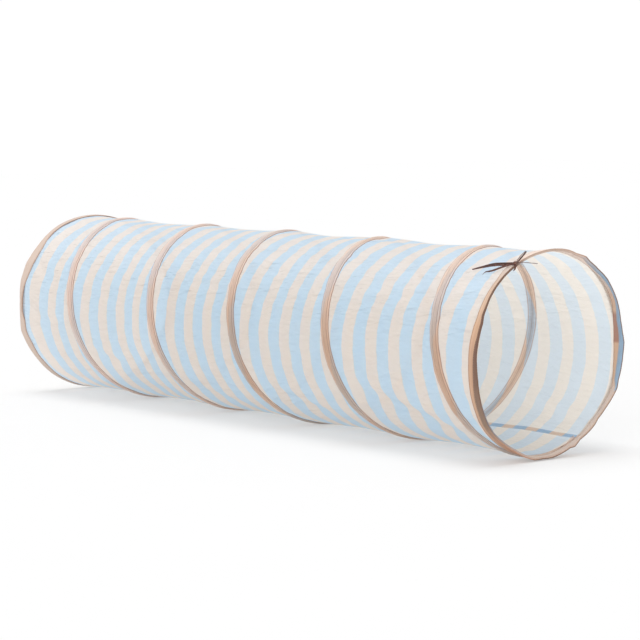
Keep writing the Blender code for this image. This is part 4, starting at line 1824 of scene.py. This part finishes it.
TAPE_OUTER_LEG = ((1, 0, -3.5), (1, -0.3, -2.6), (1, -1.3, -2.1), (1, -2.8, -2.25), (1, -4.3, -1.8),
                  (0.70, 0, -1.5), (0.5, 0, -1.4), (0.32, 0, -1.3), (0.18, 0, -1.2))
TAPE_NOSE = ((2.4, -1.2), (1.5, -1.5), (1.1, -2.2), (1.0, -3.0), (1.1, -3.9), (1.6, -4.6),
             (2.6, -4.9))
TAPE_INNER_LEG = ((0.22, 0, -5.2), (0.40, 0, -5.5), (0.60, 0, -5.7), (0.76, 0, -5.8),
                  (1, -2.8, -5.9), (1, -1.4, -5.85), (1, -0.4, -5.9), (1, 0, -5.4))
BACK_FOLD = Fold(TAPE_OUTER_LEG, TAPE_NOSE, TAPE_INNER_LEG, BACK_TAPE_OUTSIDE, BACK_TAPE_INSIDE,
                 outside_grey=((0, 0.9), (180, 0.9)), clearance=0.0)
FRONT_FOLD = Fold(
    TAPE_OUTER_LEG, TAPE_NOSE, TAPE_INNER_LEG, FRONT_TAPE_OUTSIDE, FRONT_TAPE_INSIDE,
    outside_tint=((0, 0), (150, 0), (176, 0.28), (222, 0.28), (245, 0.1), (270, 0)),
    outside_grey=((0, 0.5), (30, 1.5), (112, 1.7), (135, 0.4), (160, 0), (290, 0)),
    inside_tint=((0, 0), (2.4, 0), (3.2, 1), (19, 1), (21.5, 0)),
    inside_grey=((0, 0.2), (28, 0.3), (44, 1.4), (62, 1.8), (112, 1.8), (124, 0.8), (180, 0.2),
                 (250, 0.8), (300, 1), (336, 1), (342, 0.2)))
LIP_FOLD = Fold(
    ((1, 0, -1.3), (0.975, 0, -0.75), (0.9, 0, -0.6), (0.75, 0, -0.55), (0.55, 0, -0.5),
     (0.35, 0, -0.4), (0.18, 0, -0.4), (0.06, 0, -0.6)),
    ((0.05, -1.1), (0.25, -1.8), (0.3, -3.0), (0.25, -4.2), (0.08, -5.0)),
    ((0.08, 0, -5.45), (0.25, 0, -5.75), (0.5, 0, -6.1), (0.75, 0, -6.4), (0.95, 0, -6.5),
     (1, 0, -5.9)),
    LIP_OUTSIDE, LIP_INSIDE,
    outside_tint=((0, 0.1), (118, 0), (165, 0.1), (190, 0.35), (207, 0.75), (225, 1), (250, 1),
                  (262, 0.2), (280, 0.1)),
    outside_grey=((0, 0), (62, 0), (66, 1.8), (112, 1.8), (118, 0), (214, 0), (232, 1), (250, 1),
                  (262, 0)),
    inside_tint=((0, 0), (112, 0), (118, 1), (200, 1), (215, 0.6), (248, 0.3), (255, 0)),
    inside_grey=((0, 0), (44, 0), (60, 0.5), (68, 1), (112, 1), (118, 0), (215, 0), (255, 1),
                 (334, 1), (336, 0)),
    clearance=0.0)


@dataclass
class Hems:
    """The hems: tape folded round the cloth's edge and the end hoop, and the front lip."""

    finishes: Materials
    columns: int = 480
    ripple: Unevenness = Unevenness(30, 36, 31)
    ripple_height: float = 0.20 * MM

    def build(self) -> list[Piece]:
        """Makes the back hem, the front hem and the lip on it.

        Returns:
            The three objects.
        """
        made, turns = self.finishes, TUNNEL.turns
        return [self.fold("back_hem_tape", "back", 0, BACK_FOLD, made.hem_tape, made.hem_tape),
                self.fold("front_hem_tape", "front", turns, FRONT_FOLD, made.hem_tape,
                          made.hem_tape),
                self.fold("front_lip", "front", turns, LIP_FOLD, made.lip_outer, made.lip_inner)]

    def fold(self, name: str, end: str, turn: int, fold: Fold, outside: Material,
             inside: Material) -> Piece:
        """Turns a folded outline round the rim.

        Args:
            name: name of the piece.
            end: the end it is at, back or front.
            turn: 0 at the back, 5 at the front.
            fold: its outline and how far its legs reach.
            outside: material of the outer leg and the nose.
            inside: material of the inner leg.

        Returns:
            The object.
        """
        size = TUNNEL
        wrapped = np.linspace(0, FULL, self.columns + 1)
        behind, rise = fold.outline(wrapped[:-1])
        rows = behind.shape[1]
        x = size.length - behind if turn else behind
        angle = over_rows(wrapped[:-1], rows)
        lift = SURFACE.rim_offset(x, angle) + self.ripple_height * self.ripple.at(x, angle)
        outer = SURFACE.on_floor(size.radius + rise + lift, angle, fold.clearance * MM)
        slope = np.stack([np.gradient(behind, axis=1), np.gradient(rise, axis=1)], axis=-1)
        slope /= np.maximum(np.linalg.norm(slope, axis=-1), 1e-9)[..., None]
        step = np.stack([slope[..., 1], -slope[..., 0]], axis=-1) * -fold.thickness * MM
        inner_x = x + (-step[..., 0] if turn else step[..., 0])
        inner = SURFACE.on_floor(size.radius + rise + lift + step[..., 1], angle,
                                 (fold.clearance + fold.thickness) * MM)
        shell = Shell(name, SURFACE.point(x, angle, outer), SURFACE.point(inner_x, angle, inner),
                      True)
        self.chart(shell, fold, wrapped)
        if not turn:
            shell.outer, shell.inner = shell.outer[:, ::-1], shell.inner[:, ::-1]
            shell.maps = {key: value[:, ::-1] for key, value in shell.maps.items()}
        made = shell.build(outside, inside)
        self.paint(made, rows - 1, rows - 1 if inside is outside else fold.nose_row)
        return settle(made, f"{end}_end", f"{end}_hem", turn)

    @staticmethod
    def chart(shell: Shell, fold: Fold, wrapped: Array) -> None:
        """Charts a fold by its lengths round the rim and over the fold, and by its tints, which its
        materials turn into painted shade and light.

        Args:
            shell: the shell that gets the maps.
            fold: its outline and its tints of painted shade and light.
            wrapped: angles of the columns, with the first one again at the end.
        """
        behind, rise = fold.outline(wrapped)
        steps = np.hypot(np.diff(behind, axis=1), np.diff(rise, axis=1))
        passed = np.concatenate([np.zeros((len(wrapped), 1)), np.cumsum(steps, axis=1)], axis=1)
        around = over_rows(wrapped, behind.shape[1])
        shell.chart("cloth", around * TUNNEL.radius, passed)
        shell.chart("bay", passed[:, -1:] - passed, np.zeros_like(passed))
        outside = np.arange(behind.shape[1])[None, :] < fold.nose_row
        tint, grey = (np.where(outside, round_table(before, around), round_table(after, around))
                      for before, after in ((fold.outside_tint, fold.inside_tint),
                                            (fold.outside_grey, fold.inside_grey)))
        shell.chart("tint", tint, grey)

    def paint(self, piece: Piece, bands: int, nose: int) -> None:
        """Gives the inner leg of a fold the second finish, and all else the first.

        Args:
            piece: the fold.
            bands: rows of faces on its outer grid.
            nose: row of faces at which the second finish starts.
        """
        faces = piece.data.polygons
        slots = np.zeros(len(faces), np.int32)
        slots[:self.columns * bands].reshape(self.columns, bands)[:, nose:] = Side.INNER.value
        faces.foreach_set("material_index", slots)
        piece.data.update()


# The bow's lengths of ribbon, by piece and plain solid. Stops near the knot in millimetres
# ahead of the hem, round the rim and over the tunnel's radius, the width, and the lean in degrees
BOW_STRIPS = (
    ("bow_left_loop", "bow_loop_left", (
        (-1, 4, 6.4, 3.2, 20), (-12, 6, 6.6, 3.6, 15), (-34, 10.2, 7.4, 3.8, 12),
        (-49, 13.9, 8.4, 3.8, 10), (-64, 18.4, 8.2, 3.4, 8), (-78, 24.4, 7.8, 2.8, 4),
        (-92, 30.4, 7.5, 2.2, 0), (-104, 35.9, 7.4, 1.8, 0), (-107, 37.4, 7.4, 1.6, 0),
        (-104, 37.4, 7, 1.8, 0), (-91, 31.8, 6.7, 2.4, 0), (-77, 26.6, 6.7, 3.2, -4),
        (-61, 21, 6.9, 3.8, -8), (-44, 16.7, 6.7, 4.2, -10), (-26, 12.3, 5.5, 4, -14),
        (-10, 8, 5.2, 3.6, -18), (-1, 5, 4.6, 3.2, -20))),
    ("bow_left_tail", "bow_tail_left", (
        (-1.5, 5.5, 5.2, 3.4, 35), (-14, 12, 5.4, 4, 40), (-28, 22.4, 5.7, 4.2, 35),
        (-40, 32.9, 6.3, 4, 25), (-50, 38.9, 7, 3.8, 10), (-58, 41.4, 7, 3.6, -20),
        (-61.5, 45.4, 6.8, 3.6, -45), (-62.5, 50.4, 6.2, 3.8, -60))),
    ("bow_right_loop", "bow_loop_right", (
        (1, -1, 7.4, 3.6, 70), (1.5, -8, 10.4, 4, 72), (1, -18, 12.8, 4.2, 75),
        (0.5, -28, 14.4, 4, 78), (0.2, -33.5, 15, 3.6, 80), (0, -35.4, 13.8, 3.6, 80),
        (0.2, -32.5, 12.2, 3.8, 80), (1, -25, 10.2, 4, 78), (1.8, -15, 8, 4.2, 75),
        (1.5, -7, 5.8, 4, 72), (1, -1, 4.6, 3.6, 70))),
    ("bow_right_tail", "bow_tail_right", (
        (1.5, 0, 4.6, 2.4, 72), (3, -9, 0, 2.4, 64), (4.2, -22, -6.4, 2.2, 58),
        (4.8, -35, -12.8, 2.2, 56), (4.6, -48, -18.4, 2, 56), (4, -59, -22.6, 1.8, 60))),
    ("bow_wrap", "bow_knot", (
        (-11, 3.5, 1.8, 4.2, 90), (-8, 4, 3.6, 4.4, 90), (-3.5, 4.6, 4.2, 4.6, 90),
        (1.4, 6, 2.4, 4.6, 88), (2, 9, -1.6, 4.2, 82), (1.6, 13, -4, 3.4, 74),
        (0.8, 17, -5, 2.2, 66))))


@dataclass
class Bow:
    """The ribbon tied round the front hem: its knot, loops and tails."""

    finishes: Materials
    knot_angle: float = math.radians(118.5)
    thickness: float = 0.36 * MM
    cup: float = 0.10
    steps: int = 8
    strands: int = 7
    knot_place: tuple[float, float, float] = (0.2, 3.0, 6.6)
    knot_axis: tuple[float, float, float] = (0.28, 0.92, 0.22)
    knot_half_length: float = 5.0 * MM
    knot_core: float = 4.2 * MM
    knot_radius: float = 3.0 * MM
    knot_flatness: float = 0.92
    knot_end: float = 0.20
    knot_hollow: float = 0.25
    rib_count: int = 5
    rib_depth: float = 0.07
    rib_twist: float = 2.6
    knot_chart: tuple[float, float] = (0.024, 0.006)
    knot_columns: int = 40
    knot_rows: int = 15

    def build(self) -> list[Piece]:
        """Makes the loops, the tails, the knot and the wrap below it."""
        made = [self.strip(*strip) for strip in BOW_STRIPS[:-1]]
        return made + [self.knot(), self.strip(*BOW_STRIPS[-1])]

    def place(self, ahead: float, around: float, rise: float) -> Array:
        """Point near the knot in the row frame.

        Args:
            ahead: millimetres ahead of the hem.
            around: millimetres round the rim.
            rise: millimetres over the tunnel's radius.

        Returns:
            The point.
        """
        angle = self.knot_angle + around * MM / TUNNEL.radius
        radius = TUNNEL.radius + rise * MM
        x = TUNNEL.length + ahead * MM - TUNNEL.front_tilt * math.cos(angle)
        return np.array([TUNNEL.back_face_x + x, radius * math.cos(angle),
                         TUNNEL.radius + radius * math.sin(angle)])

    def eased_route(self, stops: Array) -> Array:
        """Smooth curve through stops.

        Args:
            stops: rows of numbers.

        Returns:
            Rows along the curve, a number of steps for each stop.
        """
        rows = []
        last = len(stops) - 1
        for index in range(last):
            before, start = stops[max(index - 1, 0)], stops[index]
            end, after = stops[index + 1], stops[min(index + 2, last)]
            for step in range(self.steps):
                t = step / self.steps
                rows.append(start * (2 * t ** 3 - 3 * t * t + 1) + end * (3 * t * t - 2 * t ** 3)
                            + (end - before) * (t ** 3 - 2 * t * t + t) / 2
                            + (after - start) * (t ** 3 - t * t) / 2)
        return np.array(rows + [stops[last]])

    def strip(self, name: str, node: str, stops: Stops) -> Piece:
        """Makes a length of ribbon.

        Args:
            name: name of the piece.
            node: the plain solid that it stands for.
            stops: its line, width and lean.

        Returns:
            The object.
        """
        table = self.eased_route(np.array([
            [*self.place(*stop), width * MM, math.radians(lean)] for *stop, width, lean in stops]))
        line, width, lean = table[:, :3], table[:, 3:4], table[:, 4:]
        outward = line - np.array([0, 0, TUNNEL.radius])
        outward[:, 0] = 0
        ahead, outward, side = line_frame(line, outward)
        across = outward * np.cos(lean) + side * np.sin(lean)
        face = np.cross(ahead, across)
        share = np.linspace(-0.5, 0.5, self.strands)
        cup = self.cup * width * (4 * share[None, :] ** 2)
        middle = (line[:, None, :] + across[:, None, :] * (width * share[None, :])[..., None]
                  + face[:, None, :] * cup[..., None])
        half = face[:, None, :] * self.thickness / 2
        shell = Shell(name, middle - half, middle + half)
        passed = np.concatenate([[0], np.cumsum(np.linalg.norm(np.diff(line, axis=0), axis=1))])
        shell.chart("cloth", width * share[None, :], over_rows(passed, len(share)))
        return settle(shell.build(self.finishes.bow_ribbon), "front_end", node)

    def knot(self) -> Piece:
        """Makes the knot: a tight, ribbed wrap of ribbon.

        Returns:
            The object.
        """
        along = np.linspace(-1, 1, self.knot_rows)
        wrapped = np.linspace(0, FULL, self.knot_columns + 1)
        angle = wrapped[:-1]
        centre = self.place(*self.knot_place)
        theta = self.knot_angle + self.knot_place[1] * MM / TUNNEL.radius
        outward = np.array([0, math.cos(theta), math.sin(theta)])
        around = np.array([0, -math.sin(theta), math.cos(theta)])
        behind, aside, rise = self.knot_axis
        axis = unit(around * aside - np.array([1.0, 0, 0]) * behind + outward * rise)
        lift = unit(outward - axis * outward.dot(axis))
        third = np.cross(axis, lift)
        bulge = np.sqrt(np.clip(1 - np.abs(along) ** 3.0, 0, 1)) * (1 - self.knot_end)
        bulge += self.knot_end
        ribs = 1 + self.rib_depth * np.sin(angle[:, None] * self.rib_count
                                           + along[None, :] * self.rib_twist)
        size = bulge[None, :] * ribs * self.knot_radius
        points = (centre + axis * (along * self.knot_half_length)[None, :, None]
                  + lift * (size * np.cos(angle)[:, None])[..., None]
                  + third * (size * self.knot_flatness * np.sin(angle)[:, None])[..., None])
        core = centre + axis * (along * self.knot_core)[None, :, None]
        inner = core + (points - core) * self.knot_hollow
        shell = Shell("bow_knot_ribbon", points[:, ::-1], inner[:, ::-1], True)
        wide, long = self.knot_chart
        shell.chart("cloth", over_rows(wrapped / FULL * wide, len(along)),
                    np.repeat(along[None, :] * long, len(wrapped), axis=0))
        return settle(shell.build(self.finishes.bow_ribbon), "front_end", "bow_knot")


@dataclass
class Studio:
    """Camera, floor and light."""

    sensor: float = 36.0
    lens: float = 154.625
    far_clip: float = 60.0
    camera_place: tuple[float, float, float] = (5.28735, -4.1461, 0.8596)
    camera_tip: float = -0.09117
    camera_turn: float = 0.89874
    floor_half: float = 14.0
    floor_drop: float = -0.0004
    floor_tone: float = 0.84
    floor_glow: float = 0.345
    floor_hidden: float = -0.27
    ground: float = 0.71
    ground_glow: float = 0.30
    lamps: tuple[tuple, ...] = (("overhead_light", (-0.12, -0.06, 1.0), 40, 1.15),
                                ("near_side_light", (0.55, -0.85, 0.30), 44, 0.85))

    def build(self) -> None:
        """Sets up all three."""
        self.camera()
        self.floor()
        self.light()

    def camera(self) -> None:
        """Puts the camera where the photograph was taken from."""
        data = bpy.data.cameras.new("photo_camera")
        data.sensor_width = self.sensor
        data.sensor_fit = 'HORIZONTAL'
        data.lens = self.lens
        data.clip_end = self.far_clip
        made = link("photo_camera", data)
        made.location = self.camera_place
        made.rotation_euler = (math.pi / 2 + self.camera_tip, 0, self.camera_turn)
        bpy.context.scene.camera = made
        bpy.context.scene.view_settings.view_transform = 'Standard'

    def floor(self) -> None:
        """Lays the white floor, which only its shadows show against the white ground."""
        mesh = bpy.data.meshes.new("studio_floor")
        half = self.floor_half
        mesh.from_pydata([(-half, -half, 0), (half, -half, 0), (half, half, 0), (-half, half, 0)],
                         [], [(0, 1, 2, 3)])
        made = link("studio_floor", mesh)
        made.location = (0, 0, self.floor_drop)
        paper = Look("studio_paper")
        grain = paper.noise(paper.add("ShaderNodeTexCoord").outputs["Object"], 3.0, 3.0)
        tone = paper.scaled(paper.less(grain, 0.5), 0.006, self.floor_tone)
        seen = paper.seen_directly()
        glow = paper.fill(paper.add("ShaderNodeEmission"), Color=WHITE,
                          Strength=paper.times(seen, self.floor_glow))
        tone = paper.scaled(seen, self.floor_hidden, tone)
        paper.fill(paper.shader, Base_Color=paper.vector(tone, tone, tone), Roughness=0.95,
                   Specular_IOR_Level=0.0)
        paper.fill(paper.output, Surface=paper.row(paper.add("ShaderNodeAddShader"),
                                                   paper.shader.outputs[0], glow.outputs[0]))
        made.data.materials.append(paper.material)

    def light(self) -> None:
        """Sets the white surroundings and two broad soft lights, above and on the near side."""
        world = bpy.data.worlds.new("studio")
        bpy.context.scene.world = world
        world.use_nodes = True
        graph = Graph(world.node_tree)
        ground = graph.fill(
            world.node_tree.nodes["Background"], Color=WHITE,
            Strength=graph.scaled(graph.seen_directly(), self.ground_glow, self.ground))
        graph.fill(world.node_tree.nodes["World Output"], Surface=ground.outputs[0])
        for name, source, spread, strength in self.lamps:
            data = bpy.data.lights.new(name, 'SUN')
            data.angle = math.radians(spread)
            data.energy = strength
            made = link(name, data)
            made.rotation_euler = Vector(source).to_track_quat('Z', 'Y').to_euler()


def main() -> None:
    """Builds the whole picture and reports each piece."""
    Studio().build()
    finishes = Materials(Effects())
    for assembly in (Spring, Cloth, Casing, Ferrules, Hems, Bow):
        for piece in assembly(finishes).build():
            LOG.info("%s: %d faces", piece.name, len(piece.data.polygons))


if __name__ == "__main__":
    main()
